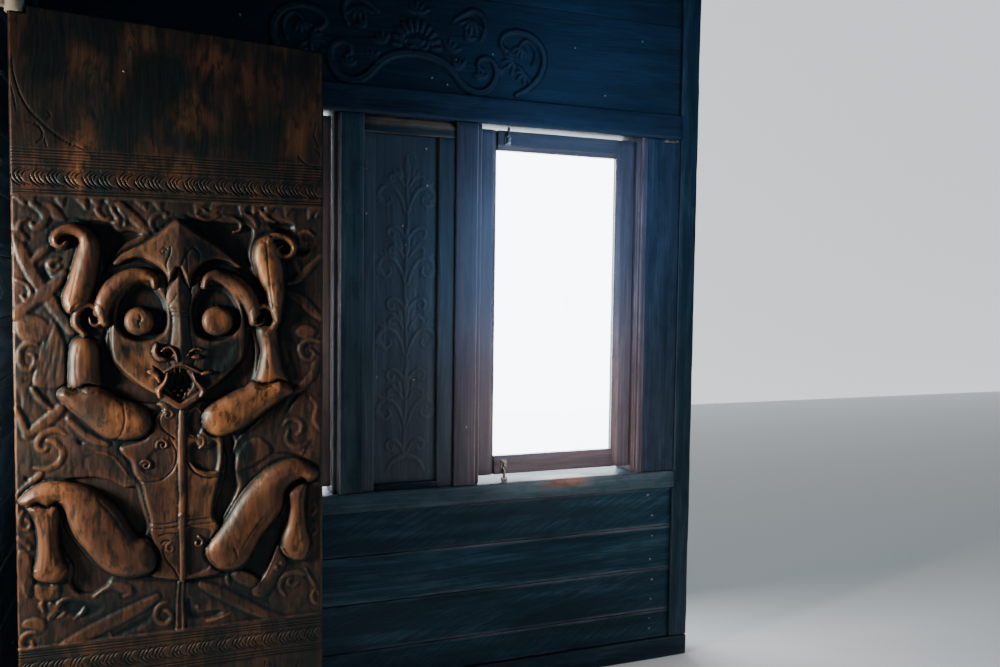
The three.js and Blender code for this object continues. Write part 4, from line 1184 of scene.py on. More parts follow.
def carveMouth(relief):
    # a lip bent to a point below, two tusks, a few teeth and the knobs at its corners
    opening = [(-738, 1168), (-722, 1190), (-704, 1198), (-686, 1190), (-674, 1170), (-670, 1146),
               (-688, 1124), (-703, 1112), (-722, 1124), (-738, 1146)]
    sinkPlate(relief, opening, 3, 6.0, 0.0)
    sinkPlate(relief, [(-722, 1164), (-712, 1180), (-700, 1180), (-692, 1166), (-696, 1152), (-708, 1147),
                       (-718, 1152)], -13, 6.0, 0.0)
    for x in (-716, -703):
        raiseStroke(relief, [(x, 1197, 3.0), (x, 1185, 2.6)], 21, 0, "flat", 2.0, 3, 1.0)
    for x, z, radius in ((-719, 1135, 6), (-708, 1122, 7), (-699, 1136, 5), (-690, 1126, 5), (-712, 1146, 4),
                         (-682, 1138, 4)):
        ball(relief, x, z, radius, 17, 0, 0.85)
    raiseStroke(relief, [(-752, 1128, 9), (-727, 1111, 11), (-702, 1095, 12), (-677, 1108, 11),
                         (-650, 1126, 9)], 14, 14, "flat", 4.0, 5, 0.8)
    raiseStroke(relief, [(-744, 1184, 2.5), (-728, 1194, 4), (-708, 1203, 4), (-690, 1203, 4),
                         (-670, 1193, 4), (-650, 1182, 3)], 7, 17, "round", 3.0, 4, 0.5)
    tusks = [
        [(-753, 1120, 6), (-755, 1138, 8), (-745, 1152, 6), (-737, 1168, 5), (-734, 1184, 2)],
        [(-650, 1120, 6), (-645, 1134, 8), (-654, 1150, 7), (-665, 1163, 5), (-670, 1180, 1.5)],
    ]
    raiseStrokes(relief, tusks, 17, 15, "round", 4.0, 4, 0.9)
    cutGroove(relief, [(-768, 1202, 2), (-754, 1190, 3.4), (-745, 1174, 3.4), (-750, 1158, 2)], 9)
    raiseStrokes(relief, [[(-778, 1187, 5), (-766, 1184, 9), (-758, 1172, 7), (-753, 1160, 3)],
                 [(-648, 1179, 4), (-636, 1182, 6), (-622, 1184, 2)]], 12, 16, "round", 3.0, 4, 0.9)


def carveHorns(relief):
    # horns and the curls at the ears
    horns = [
        [(-962, 1352, 14), (-950, 1376, 34), (-938, 1412, 35), (-926, 1464, 32), (-919, 1506, 28),
         (-926, 1538, 22), (-950, 1553, 18), (-976, 1550, 15), (-995, 1534, 13), (-993, 1516, 11),
         (-979, 1511, 9), (-970, 1521, 6)],
        [(-452, 1322, 12), (-455, 1360, 22), (-456, 1400, 28), (-462, 1428, 33), (-468, 1460, 38),
         (-475, 1496, 41), (-480, 1524, 30), (-474, 1542, 16)],
        [(-478, 1546, 12), (-456, 1553, 12), (-432, 1551, 12), (-411, 1537, 11), (-406, 1516, 10),
         (-421, 1500, 9), (-441, 1503, 8), (-449, 1518, 6), (-439, 1527, 4)],
    ]
    for path, height in zip(horns, (33, 33, 22)):
        raiseStroke(relief, path, height, 0, "round", 3.0, 11, 1.0)
    ball(relief, -979, 1531, 5, -5, 10, 0.0, 0.0)
    cutGroove(relief, [(-481, 1540, 2), (-478, 1480, 3.4), (-470, 1410, 3), (-462, 1350, 2)], 3.0)
    cutGroove(relief, [(-962, 1372, 2), (-948, 1440, 3), (-938, 1500, 2)], 1.6)
    ears = [
        [(-932, 1288, 9), (-950, 1314, 12), (-946, 1346, 12), (-922, 1362, 11), (-899, 1352, 10),
         (-890, 1330, 9), (-900, 1311, 7), (-915, 1315, 6), (-919, 1330, 4)],
        [(-474, 1288, 9), (-456, 1314, 12), (-460, 1346, 12), (-484, 1362, 11), (-508, 1352, 10),
         (-516, 1330, 9), (-506, 1311, 7), (-491, 1315, 6), (-487, 1330, 4)],
    ]
    raiseStrokes(relief, ears, 22, 2, "round", 2.5, 7, 0.6)
    for x, z in ((-906, 1327), (-500, 1327)):
        ball(relief, x, z, 6, -4, 6, 0.0, 0.0)


def carveGuardian():
    size = leafSize
    relief = newRelief(columnsOfLeaf(size["carvingStep"]),
                       span(size["carvedFrom"], size["carvedTo"], size["carvingStep"]))
    xs, zs = np.meshgrid(relief["x"], relief["z"])
    relief["h"] += (size["field"] + 1.3 * latticeNoise(xs / 60 + 40, zs / 90 + 7, 3)
                    + 0.5 * latticeNoise(xs / 14, zs / 40, 4))
    relief["rub"] += 0.06 + 0.12 * latticeNoise(xs / 50 + 9, zs / 80 + 2, 5)
    relief["shade"] -= 0.04
    for carve in (sinkGround, carveScrolls, carveTorso, carveArms, carveLegs, carveHead, carveNose,
                  carveMouth, carveHorns):
        carve(relief)

    # the arrises of the figure are rounded by touch; painted shade darkens its right half, which is turned
    # from the light, the shaded side of the nose and the bottom of the carving, and lighter patches paint
    # light onto the right side where the lamp falls off; a few more warm worn spots
    relief["h"] = 0.5 * relief["h"] + 0.5 * boxBlur(relief["h"], 1)
    patchy(relief, [
        (-622, 1505, 70, 52, -0.20), (-600, 1462, 66, 34, -0.16), (-570, 1190, 58, 74, -0.20),
        (-604, 1246, 62, 60, -0.18), (-640, 1160, 36, 40, -0.14), (-560, 868, 44, 130, -0.30),
        (-596, 960, 70, 60, -0.10), (-820, 1225, 56, 70, -0.10), (-452, 1440, 46, 110, -0.08),
        (-640, 1390, 60, 40, -0.08), (-400, 1110, 60, 60, -0.06), (-560, 1560, 70, 40, -0.14),
        (-880, 1570, 60, 40, -0.10), (-390, 820, 60, 90, -0.05), (-640, 660, 70, 60, -0.05),
        (-960, 700, 50, 80, -0.10), (-860, 960, 70, 40, -0.06), (-470, 640, 60, 70, -0.08),
        (-684, 1330, 16, 110, -0.12), (-806, 1190, 56, 50, 0.16), (-400, 1000, 70, 240, 0.07),
        (-410, 700, 70, 160, 0.06), (-520, 800, 60, 120, 0.10), (-772, 1500, 60, 44, 0.02),
        (-732, 1540, 26, 40, 0.04), (-948, 1440, 40, 90, 0.10), (-480, 820, 60, 90, 0.10),
        (-700, 560, 380, 60, -0.08), (-1030, 1010, 60, 120, 0.05), (-940, 1100, 60, 40, 0.04),
        (-1000, 890, 60, 24, 0.12),
    ], 81)

    # the carver's gouge has left its facets everywhere
    facets = 0.42 * latticeNoise(xs / 9.0 + 3, zs / 22.0 + 8, 21)
    relief["h"] += facets + 0.22 * latticeNoise(xs / 4.0, zs / 13.0, 22)
    relief["rub"] = np.clip(relief["rub"] * (0.86 + 0.34 * latticeNoise(xs / 26.0, zs / 60.0, 23)), 0, 1)
    # the carving runs out to the plain wood along its upper and lower border
    border = np.maximum(smoothStep((zs - size["carvedTo"] + 10) / 9),
                        smoothStep((size["carvedFrom"] + 9 - zs) / 8))
    relief["h"] = relief["h"] * (1 - border) + size["plain"] * border
    relief["h"] = np.clip(relief["h"], size["deepest"], size["highest"])
    paleArrisHighlight(relief)
    return relief


def braid(relief, z0, z1, pitch, firstX, lastX, hand):
    # a band of plaited strands: three shallow cuts lean one way, three deeper ones under them the other way
    middle = (z0 + z1) / 2
    reach = (z1 - z0) / 2
    for k, x in enumerate(np.arange(firstX, lastX, pitch)):
        x += 3.0 * math.sin(k * 2.1)
        for i in range(3):
            a = x + 10.0 * i
            upper = [(a + 3, 0.06 - 0.06 * i, 1.2), (a + 7, 0.42, 2.4), (a + 15, 0.76 - 0.06 * i, 2.2),
                     (a + 27, 0.98 - 0.10 * i, 1.0)]
            under = [(a - 3, 0.22 - 0.05 * i, 1.2), (a, -0.22, 2.8), (a + 8, -0.62, 2.8),
                     (a + 22, -0.97 + 0.10 * i, 1.0)]
            for path, depth in ((upper, 2.2), (under, 3.4)):
                cutGroove(relief, [(px, middle + hand * reach * pz, half) for px, pz, half in path], depth)


def ruledLines(relief, levels, x0, x1):
    # cuts along the leaf that wander a little, as drawn by hand
    for k, z in enumerate(levels):
        wander = [(x, z + 0.8 * math.sin(x / 70.0 + k), 1.8 + 0.5 * math.sin(x / 31.0 + 2 * k))
                  for x in np.linspace(x0, x1, 12)]
        cutGroove(relief, wander, 2.8)


def plainField(zs):
    # the leaf's plain wood above and below the carving: flat, stained and rubbed, and darkened partly by
    # stain and partly by painted shade
    size = leafSize
    xs = np.unique(np.concatenate([columnsOfLeaf(size["braidStep"]), [size["notch"], size["notch"] + 0.4]]))
    relief = newRelief(xs, zs, size["plain"])
    xGrid, zGrid = np.meshgrid(xs, zs)
    relief["h"] += (0.5 * latticeNoise(xGrid / 120 + 4, zGrid / 260 + 3, 31)
                    + 0.22 * latticeNoise(xGrid / 22, zGrid / 160, 32))
    relief["h"] += 0.12 * latticeNoise(xGrid / 6, zGrid / 90, 33)
    relief["rub"] += 0.16 + 0.16 * latticeNoise(xGrid / 44, zGrid / 120, 34)
    upright = latticeNoise(xGrid / 34 + 2, zGrid / 170 + 6, 35)
    upright = upright + 0.5 * latticeNoise(xGrid / 13, zGrid / 90, 36)
    # darker all over: partly dark stain, partly painted shade for the light that falls off at the top and
    # bottom of the leaf
    relief["shade"] += -0.16 + 0.06 * upright
    patchy(relief, [
        (-1017, 2000, 60, 90, -0.09), (-892, 2060, 70, 60, -0.08), (-745, 1930, 70, 80, -0.13),
        (-820, 1840, 70, 80, -0.10), (-660, 1800, 40, 50, -0.09), (-435, 2029, 60, 60, -0.07),
        (-981, 1826, 60, 60, -0.05), (-892, 1669, 30, 40, -0.08), (-983, 1671, 26, 34, -0.07),
        (-443, 1734, 60, 40, -0.06), (-600, 1700, 50, 50, -0.06), (-1058, 2030, 34, 90, 0.07),
        (-927, 1987, 46, 60, 0.09), (-796, 2050, 60, 40, 0.07), (-682, 1870, 60, 60, 0.11),
        (-606, 2020, 60, 50, 0.08), (-493, 1950, 60, 90, 0.06), (-705, 1716, 46, 60, 0.10),
        (-930, 1760, 40, 90, 0.10), (-773, 1766, 40, 50, 0.07), (-389, 1874, 46, 120, 0.06),
        (-1050, 1660, 40, 60, 0.06), (-949, 1688, 26, 30, 0.08), (-830, 1690, 60, 30, 0.05),
        (-480, 1680, 60, 24, 0.05), (-1000, 360, 60, 80, 0.05), (-720, 330, 70, 90, 0.04),
    ], 91)
    paleArrisHighlight(relief)
    return relief


def topSlope(x, z):
    # squeezes the top rows so that the edge slopes and leaves the notch beside the pin
    size = leafSize
    fall = size["freeTop"] - size["hingeTop"]
    edge = size["hingeTop"] + fall * (x - size["hinge"]) / (size["free"] - size["hinge"])
    edge = np.where(x < size["notch"] + 0.2, size["notchLow"], edge)
    start = size["slopeFrom"]
    return x, np.where(z > start, start + (z - start) * (edge - start) / (size["hingeTop"] - start), z)


def placed(path, x, z=0, hand=1):
    # a path moved to a place, and mirrored there for hand -1
    return [(x + hand * px, z + pz, *rest) for px, pz, *rest in path]


def leafMesh(name, relief, board, **extra):
    depths = (leafSize["ground"], leafSize["seat"])
    reliefMesh(name, relief, depths, board, "carved", "door_leaf", "carved_timber", "door", **extra)


def buildLeaf():
    size = leafSize
    carving = carveGuardian()
    leafMesh("leafGuardian", carving, 0.62, limit=size["guardianLimit"])
    print("guardian carved,", carving["h"].size, "places at", size["carvingStep"], "mm")
    fine = size["braidStep"]
    left, right = size["hinge"] + 4, size["free"] - 4
    upper = plainField(np.concatenate([np.arange(size["carvedTo"], 1762, fine), np.arange(1764, 1962, 4.0),
                                       span(1966, size["hingeTop"], 7.0)]))
    braid(upper, 1657, 1706, 40.0, left, right - 24, 1)
    ruledLines(upper, (1644, 1651, 1712, 1720, 1728, 1735, 1743, 1750), left, right)
    cutGrooves(upper, [
        [(-1086, 1975, 1.4), (-1082, 1930, 2.2), (-1068, 1880, 2.6), (-1050, 1846, 2.6), (-1028, 1822, 2.6),
         (-1004, 1799, 2.6), (-972, 1775, 2.4), (-925, 1755, 1.4)],
        [(-1090, 1905, 1.2), (-1083, 1875, 2), (-1078, 1842, 1.2)],
        [(-1062, 1815, 1.4), (-1038, 1813, 2.2), (-1022, 1796, 2.4), (-1022, 1780, 2.2),
         (-1036, 1765, 1.4)], [(-1016, 1776, 1.4), (-1012, 1757, 2)],
        [(-1010, 1846, 1.4), (-1002, 1836, 2), (-1010, 1827, 1.4)],
        [(-344, 1872, 1.2), (-350, 1836, 1.8), (-340, 1806, 1.2)],
        [(-394, 1774, 1.4), (-374, 1756, 2), (-345, 1748, 1.4)],
        [(-350, 1798, 1.2), (-336, 1786, 1.8), (-332, 1770, 1.2)],
    ], 2.6)
    leafMesh("leafUpperField", upper, 0.42, warp=topSlope)
    lower = plainField(np.concatenate([span(size["bottom"], 376, 7.0),
                                       np.arange(380, size["carvedFrom"] - 1, fine), [size["carvedFrom"]]]))
    braid(lower, 404, 452, 40.0, left, right - 24, -1)
    ruledLines(lower, (374, 381, 388, 396, 459, 466, 474), left, right)
    corner = [
        [(12, 150, 1.4), (18, 210, 2.4), (44, 274, 2.6), (90, 325, 2.4), (168, 366, 1.4)],
        [(40, 318, 1.4), (62, 322, 2.2), (74, 338, 2.2), (66, 356, 2), (50, 360, 1.4)],
    ]
    for edge, hand in ((size["hinge"], 1), (size["free"], -1)):
        cutGrooves(lower, [placed(path, edge, 0, hand) for path in corner], 2.6)
    leafMesh("leafLowerField", lower, 0.35)

    # the plank behind the carving, with the two pins it turns on
    outline = [(size[x], size[z]) for x, z in (
        ("hinge", "bottom"), ("free", "bottom"), ("free", "freeTop"), ("notch", "notchHigh"),
        ("notch", "notchLow"), ("hinge", "notchLow"),
    )]
    look = dict(barLook, bevel=3.0, spacing=40.0, step=5.0, uneven=0.25, wear=0.4, rub=0.3, board=0.5)
    section = [(z, x) for x, z in reversed(outline)]
    plank = loftBar(section, (size["seat"] - 1.0, size["back"]), "y", look, 8)
    r, pinTone = pivot["pin"], (0.2, 0.5, 0.3)
    centre = (pivot["x"], pivot["y"], 0)
    pinTop = turnedForm([(0, 2072), (r, 2072), (r, 2138), (r - 3, 2142), (0, 2142)], centre, 28, pinTone)
    pinLow = turnedForm([(0, 4), (r - 4, 4), (r, 9), (r, 38), (0, 38)], centre, 28, pinTone)
    nail = [(0, -2.0), (3.4, -2.0), (3.4, 0.2), (2.4, 1.2), (0, 1.6)]
    nailPlace = (-833, size["ground"] - size["plain"] - 0.4, 1962)
    makePiece("leafNail", roundHead(nail, *nailPlace), "iron", [], "aged_iron", "door")
    makePiece("leafPlank", joinParts([plank, pinTop, pinLow]), "carved", "door_leaf", "carved_timber", "door")


buildLeaf()
print("door leaf done")


# beams, planks, rails and posts of the wall

wallSize = {
    "arris": 6.0, "wornSill": (600.0, 95.0), "notch": (1001.0, 1061.0, 12.0), "leftShift": 55.0,
    "boardJoints": (80, 187, 351, 514, 665, 829, 993, 1158, 1322, 1486, 1650, 1814, 1978, 2142, 2306, 2440,
                    2560),
}
heavyBar = {"bevel": 5.0, "uneven": 1.3, "wear": 2.0, "spacing": 18.0}
# the planks' pale rubbed arrises are partly wear and partly a painted highlight that fades towards the left
plankBar = {"bevel": 3.6, "spacing": 9.0, "step": 26.0, "uneven": 1.0, "wear": 1.8, "rub": 1.0,
            "wornAndLitFrom": -300.0}
flatPlankBar = dict(plankBar, bevel=1.0, uneven=0.3, wear=0.2, rub=0.0)
railBar = {"bevel": 2.5, "spacing": 8.0, "step": 22.0, "uneven": 0.9, "wear": 1.4}


def buildBeams():
    for name, node, grain, finish in (
        ("soleBeam", "sole_beam", "x", "darkX"),
        ("topPlate", "top_plate", "x", "darkX"),
        ("returnSoleBeam", "return_sole_beam", "y", "darkY"),
        ("returnTopPlate", "return_top_plate", "y", "darkY"),
    ):
        hewnBar(name, node, grain, finish, **heavyBar)
    for i, finish in enumerate(("plankX", "plankX", "plankX", "upperPlankX", "friezeX"), 1):
        hewnBar(f"wallPlank{i}", f"wall_plank_{i}", "x", finish, **(flatPlankBar if i == 5 else plankBar))
    for name, node in (("cornerPostLeft", "corner_post_left"), ("cornerPostRight", "corner_post_right"),
                       ("hingePost", "hinge_post")):
        hewnBar(name, node, "z", "darkZ", **heavyBar)
    a = wallSize["arris"]
    for name, node, finish, wear in (
        ("sillRail", "sill_rail", "sillX", {"rub": 0.16, "wornAt": wallSize["wornSill"]}),
        ("lintelRail", "lintel_rail", "lintelX", {"rub": 0.4}),
    ):
        low, high = inMm(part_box(node))
        corners = [(low[1], low[2] + a), (low[1] + a, low[2]), (high[1], low[2]), (high[1], high[2]),
                   (low[1] + a, high[2]), (low[1], high[2] - a)]
        hewnBar(name, node, "x", finish, corners=corners, **railBar, **wear)


def buildReturnWall():
    low, high = inMm(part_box("return_wall"))
    parts = []
    joints = wallSize["boardJoints"]
    for k, (z0, z1) in enumerate(zip(joints[:-1], joints[1:])):
        look = dict(barLook, bevel=3.6, spacing=14.0, step=30.0, uneven=1.0, wear=1.6, rub=0.6,
                    board=((k * 37) % 100) / 100)
        parts.append(loftBar(rectangle(z0, z1, low[0], high[0]), (low[1], high[1]), "y", look, 40 + k))
    makePiece("returnWall", joinParts(parts), "darkY", "return_wall")


def onSide(outline, hand):
    # what stands at the left mirrors the right, a little closer to the middle
    return outline if hand > 0 else [(wallSize["leftShift"] - x, y) for x, y in reversed(outline)]


def buildPosts():
    inner = [(185, -70), (265, -70), (265, -50), (285, -50), (285, 70), (185, 70)]
    outer = [(895, -50), (906, -50), (906, -70), (930, -70), (930, 70), (895, 70)]
    # pale bands on the stepped edges of the inner posts are painted highlights of the window light
    highlightEdges = {"innerPostLeft": (-240.0, -205.0), "innerPostRight": (260.0, 290.0)}
    for side, hand in (("left", -1), ("right", 1)):
        title = side.capitalize()
        for name, node, outline in ((f"innerPost{title}", f"inner_post_{side}", inner),
                                    (f"outerPost{title}", f"outer_post_{side}", outer)):
            pale = highlightEdges.get(name)
            finish = "postZ" if name == "innerPostLeft" else "frameZ"
            hewnBar(name, node, "z", finish, "frame_timber", corners=onSide(outline, hand),
                    bevel=3.4 if pale else 2.2, spacing=2.6 if pale else 10.0, step=24.0, uneven=0.5,
                    wear=0.9, rub=0.85, pale=pale)
        hewnBar(f"panelStile{title}", f"panel_stile_{side}", "z", "panelZ", bevel=2.2, spacing=8.0, step=24.0,
                uneven=0.5, wear=0.8, rub=0.9)
        buildEndPanel(side, title, hand)


def buildEndPanel(side, title, hand):
    # a plain board with the small daylight notch in its top
    low, high = inMm(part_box(f"end_panel_{side}"))
    notchFrom, notchTo, notchDepth = wallSize["notch"]
    slit, reach = 0.4, 60.0
    edges = [hand * x for x in (notchFrom - slit, notchFrom, notchTo, notchTo + slit)]
    columns = np.unique(np.concatenate([span(low[0], high[0], 7.0), edges]))
    relief = newRelief(columns, span(low[2], high[2], 8.0))
    xs, zs = np.meshgrid(relief["x"], relief["z"])
    relief["h"] += 0.5 * latticeNoise(xs / 34, zs / 220, 51) - 0.6 + 0.25 * latticeNoise(xs / 9, zs / 80, 52)

    def notchTop(x, z):
        inside = (np.abs(x) > notchFrom - slit / 2) & (np.abs(x) < notchTo + slit / 2)
        start = high[2] - reach
        return x, np.where(inside & (z > start), start + (z - start) * (reach - notchDepth) / reach, z)

    board = 0.6 if hand > 0 else 0.3
    reliefMesh(f"endPanel{title}", relief, (low[1], high[1]), board, "cornerZ", f"end_panel_{side}",
               warp=notchTop)


buildBeams()
buildReturnWall()
buildPosts()
print("beams, planks and posts done")


# carved boards of the wall

frieze = {"middle": 42.0, "surface": -62.0, "back": -12.0, "step": 2.5, "proud": 7.0,
          "highest": 14.0}


def leafSpray(relief, x, z, start, lean, count, length, height, hand=1):
    # a fan of rounded leaf lobes; angles in degrees, anticlockwise for hand 1
    for k in range(count):
        angle = math.radians(start + lean * k)
        c, s = hand * math.cos(angle), math.sin(angle)
        long = length * (1 - 0.12 * (k % 2))
        lobe = [(x + share * long * c, z + share * long * s, half)
                for share, half in ((0.15, 3), (0.62, 7.5), (1, 3))]
        raiseStroke(relief, lobe, height, 0, "round", 1.0, 4, 0.3)


def buildFrieze():
    low, high = inMm(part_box("frieze_board"))
    fine = frieze["step"]
    xs = np.concatenate([np.arange(low[0], -480, 14.0), np.arange(-478, 560, fine), span(562, high[0], 14.0)])
    relief = newRelief(xs, span(low[2], high[2], fine))
    gridX, gridZ = np.meshgrid(relief["x"], relief["z"])
    relief["h"] += 0.6 * latticeNoise(gridX / 180, gridZ / 40, 61) - 0.4
    relief["h"] += 0.25 * latticeNoise(gridX / 40, gridZ / 8, 62)
    middle = frieze["middle"]
    proud = frieze["proud"]
    swanNeck = [(0, 2194, 12), (45, 2190, 13), (90, 2175, 13), (128, 2146, 13), (158, 2112, 13),
                (188, 2091, 14), (222, 2085, 14), (256, 2097, 14), (280, 2128, 13), (286, 2162, 12),
                (274, 2192, 10), (248, 2204, 9), (224, 2196, 8), (218, 2174, 7), (236, 2162, 5)]
    sideScroll = [(318, 2236, 6), (300, 2258, 8), (312, 2288, 9), (350, 2304, 10), (394, 2302, 11),
                  (434, 2282, 12), (458, 2250, 12), (464, 2212, 12), (454, 2175, 12), (432, 2140, 12),
                  (398, 2110, 11), (360, 2090, 8)]
    innerScroll = [(372, 2262, 5), (396, 2280, 7), (424, 2262, 7), (432, 2228, 6), (420, 2196, 4)]
    crescent = [(128, 2316, 4), (160, 2338, 8), (196, 2356, 10), (226, 2348, 11), (242, 2318, 9),
                (238, 2286, 7), (226, 2262, 4)]
    sprays = [
        (196, 2330, 205, 28, 5, 52), (150, 2150, 62, 30, 4, 44), (112, 2210, 20, 32, 4, 46),
        (226, 2128, 40, 34, 4, 34), (352, 2210, 130, 32, 5, 50), (394, 2172, 150, 36, 5, 44),
        (382, 2258, 200, 30, 4, 40), (300, 2150, 60, 30, 3, 34), (172, 2256, 20, 34, 3, 36),
    ]
    for hand in (1, -1):
        for x, *spray in sprays:
            leafSpray(relief, middle + hand * x, *spray, proud * 0.5, hand)
        curls = (innerScroll, crescent, curl(26, 2228, 19, 1.1, 200, 1, 6), curl(52, 2232, 12, 1.0, 60, 1, 5))
        curls = [placed(path, middle, 0, hand) for path in curls]
        raiseStrokes(relief, curls, proud * 0.75, 0, "round", 1.0, 5, 0.3)
        bands = [placed(path, middle, 0, hand) for path in (swanNeck, sideScroll)]
        raiseStrokes(relief, bands, proud, 0, "strap", 1.2, 6, 0.4)
    # the fan of short rays over the middle
    for k in range(11):
        angle = math.radians(4 + 172 * k / 10)
        c, s = math.cos(angle), math.sin(angle)
        ray = [(middle + reach * c, 2212 + rise * s, half)
               for reach, rise, half in ((56, 58, 7), (74, 80, 10), (82, 90, 6))]
        raiseStroke(relief, ray, proud * 0.8, 0, "round", 1.0, 4, 0.35)
    leafSpray(relief, middle, 2206, 52, 19, 5, 46, proud * 0.6)
    leafSpray(relief, middle, 2318, 30, 30, 5, 52, proud * 0.5)
    relief["h"] = boxBlur(boxBlur(np.minimum(relief["h"], frieze["highest"]), 1), 1)
    reliefMesh("friezeBoard", relief, (frieze["surface"], frieze["back"]), 0.7, "friezeX", "frieze_board")


panelVine = {"stem": 18.0, "surface": -46.0, "back": -22.0, "step": 2.4, "proud": 2.0,
             "pitch": 240.0, "limit": 100000}


def buildPanel():
    low, high = inMm(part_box("panel_field"))
    relief = newRelief(span(low[0], high[0], panelVine["step"]), span(low[2], high[2], panelVine["step"]))
    gridX, gridZ = np.meshgrid(relief["x"], relief["z"])
    relief["h"] += (0.5 * latticeNoise(gridX / 40, gridZ / 200, 71) - 0.3
                    + 0.2 * latticeNoise(gridX / 8, gridZ / 60, 72))
    stem = panelVine["stem"]
    proud = panelVine["proud"]
    stalk = [(stem + 5 * math.sin(z / 80), z, 4.0) for z in range(850, 1880, 40)]
    raiseStroke(relief, stalk, proud * 0.7, 0, "round", 1.2, 4, 0.2)
    volute = [(4, -84, 4), (18, -40, 5), (40, -4, 7), (70, 8, 8), (94, -12, 8), (96, -42, 7), (74, -58, 6),
              (54, -44, 5), (58, -26, 4)]
    lowCurl = [(4, -176, 4), (20, -146, 5), (44, -130, 6), (64, -140, 6), (62, -162, 5), (46, -166, 4),
               (42, -152, 3)]
    crook = [(10, 8, 4), (26, 34, 5), (48, 44, 6), (62, 32, 5), (54, 18, 4), (44, 24, 3)]
    for z in np.arange(1750.0, 980.0, -panelVine["pitch"]):
        for hand in (1, -1):
            raiseStroke(relief, placed(volute, stem, z, hand), proud, 0, "strap", 1.6, 5, 0.3)
            small = [placed(path, stem, z, hand) for path in (lowCurl, crook)]
            raiseStrokes(relief, small, proud * 0.9, 0, "round", 1.6, 5, 0.3)
            leafSpray(relief, stem + hand * 14, z + 30, 40, 32, 2, 44, proud * 0.7, hand)
            leafSpray(relief, stem + hand * 84, z - 30, 262, 40, 3, 30, proud * 0.7, hand)
            leafSpray(relief, stem + hand * 66, z + 6, 30, 40, 3, 30, proud * 0.6, hand)
        upright = [(stem, z + 14, 4), (stem + 2, z + 50, 11), (stem, z + 84, 9), (stem, z + 112, 3)]
        raiseStroke(relief, upright, proud, 0, "round", 1.6, 5, 0.45)
        cutGroove(relief, [(stem, z + 26, 1.4), (stem + 1, z + 60, 1.8), (stem, z + 98, 1.2)], 1.6)
    foot = [(-66, 790, 6), (-46, 826, 8), (0, 844, 9), (46, 826, 8), (66, 790, 6)]
    raiseStroke(relief, placed(foot, stem), proud, 0, "round", 1.6, 5, 0.3)
    relief["h"] = boxBlur(boxBlur(relief["h"], 1), 1)
    relief["h"] += 0.5 * latticeNoise(gridX / 8, gridZ / 12, 73) * latticeNoise(gridX / 45, gridZ / 60, 74)
    patchy(relief, [(-60, 1760, 30, 30, 0.10), (20, 1890, 50, 24, 0.12), (100, 1560, 24, 50, 0.10),
                    (-40, 1640, 40, 40, 0.06), (0, 1290, 24, 70, 0.10), (70, 1420, 30, 24, 0.08),
                    (10, 1000, 60, 80, 0.06)], 75)
    reliefMesh("panelField", relief, (panelVine["surface"], panelVine["back"]), 0.45, "panelZ", "panel_field",
               limit=panelVine["limit"])
    hewnBar("panelBottomRail", "panel_bottom_rail", "x", "darkX", bevel=2.0, spacing=7.0, step=22.0,
            uneven=0.4, wear=0.8, rub=0.6)
    # the golden patch on the top rail's chamfer is partly wear and partly a painted highlight
    chamfer = [(-60, 1925), (-14, 1925), (-14, 1982), (-38, 1982), (-60, 1960)]
    hewnBar("panelTopRail", "panel_top_rail", "x", "ledgeX", corners=chamfer, bevel=2.0, spacing=7.0,
            step=20.0, uneven=0.5, wear=0.9, rub=0.5, wornAt=(20.0, 250.0), wornLow=-6.0)


buildFrieze()
buildPanel()
print("carved wall boards done")


# windows: sashes, glass and bolts

window = {
    "from": 287.0, "to": 895.0, "bottom": 753.0, "top": 1971.0, "front": -30.0, "back": 5.0,
    "innerStile": 63.0, "outerStile": 70.0, "bottomRail": 65.0, "topRail": 68.0, "bolt": 386.0,
}
# each bolt's plate from and to, and how far its rod reaches
bolts = {"low": (768, 806, 731), "high": (1920, 1958, 1981)}


def sashSection(outer, inner, front, back):
    # from the outer edge to the glass edge, with a stepped, slanted moulding beside the glass
    hand = 1 if inner > outer else -1
    section = [(outer, front), (inner - hand * 15, front), (inner - hand * 12, front + 4),
               (inner - hand * 4, front + 8), (inner, front + 13), (inner, back), (outer, back)]
    return section if hand > 0 else section[::-1]


def roundedPlate(low, high, look):
    section, run = boxSection(low, high, "z")
    return loftBar(section, run, "z", look, 5)


def buildSash(side, title, hand):
    w = window
    bar = {"bevel": 1.6, "spacing": 8.0, "step": 22.0, "uneven": 0.35, "wear": 0.6, "rub": 0.8}
    inner = sashSection(w["from"], w["from"] + w["innerStile"], w["front"], w["back"])
    outer = sashSection(w["to"], w["to"] - w["outerStile"], w["front"], w["back"])
    for name, node, section in ((f"window{title}InnerStile", f"window_{side}_inner_stile", inner),
                                (f"window{title}OuterStile", f"window_{side}_outer_stile", outer)):
        finish = "railZ" if name == "windowLeftInnerStile" else "sashZ"
        hewnBar(name, node, "z", finish, "frame_timber", corners=onSide(section, hand), **bar)
    low = sashSection(w["bottom"], w["bottom"] + w["bottomRail"], w["front"], w["back"])
    high = sashSection(w["top"], w["top"] - w["topRail"], w["front"], w["back"])
    for name, node, section in ((f"window{title}BottomRail", f"window_{side}_bottom_rail", low),
                                (f"window{title}TopRail", f"window_{side}_top_rail", high)):
        corners = [(y, z) for z, y in reversed(section)]
        hewnBar(name, node, "x", "sashX", "frame_timber", corners=corners, **bar)
    look = dict(barLook, bevel=0.8, spacing=300.0, step=400.0, uneven=0.0, wear=0.0, rub=0.0)
    pane = roundedPlate(*inMm(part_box(f"window_{side}_glass")), look)
    makePiece(f"window{title}Glass", flatFaced(pane), "glass", f"window_{side}_glass", "clear_glass")


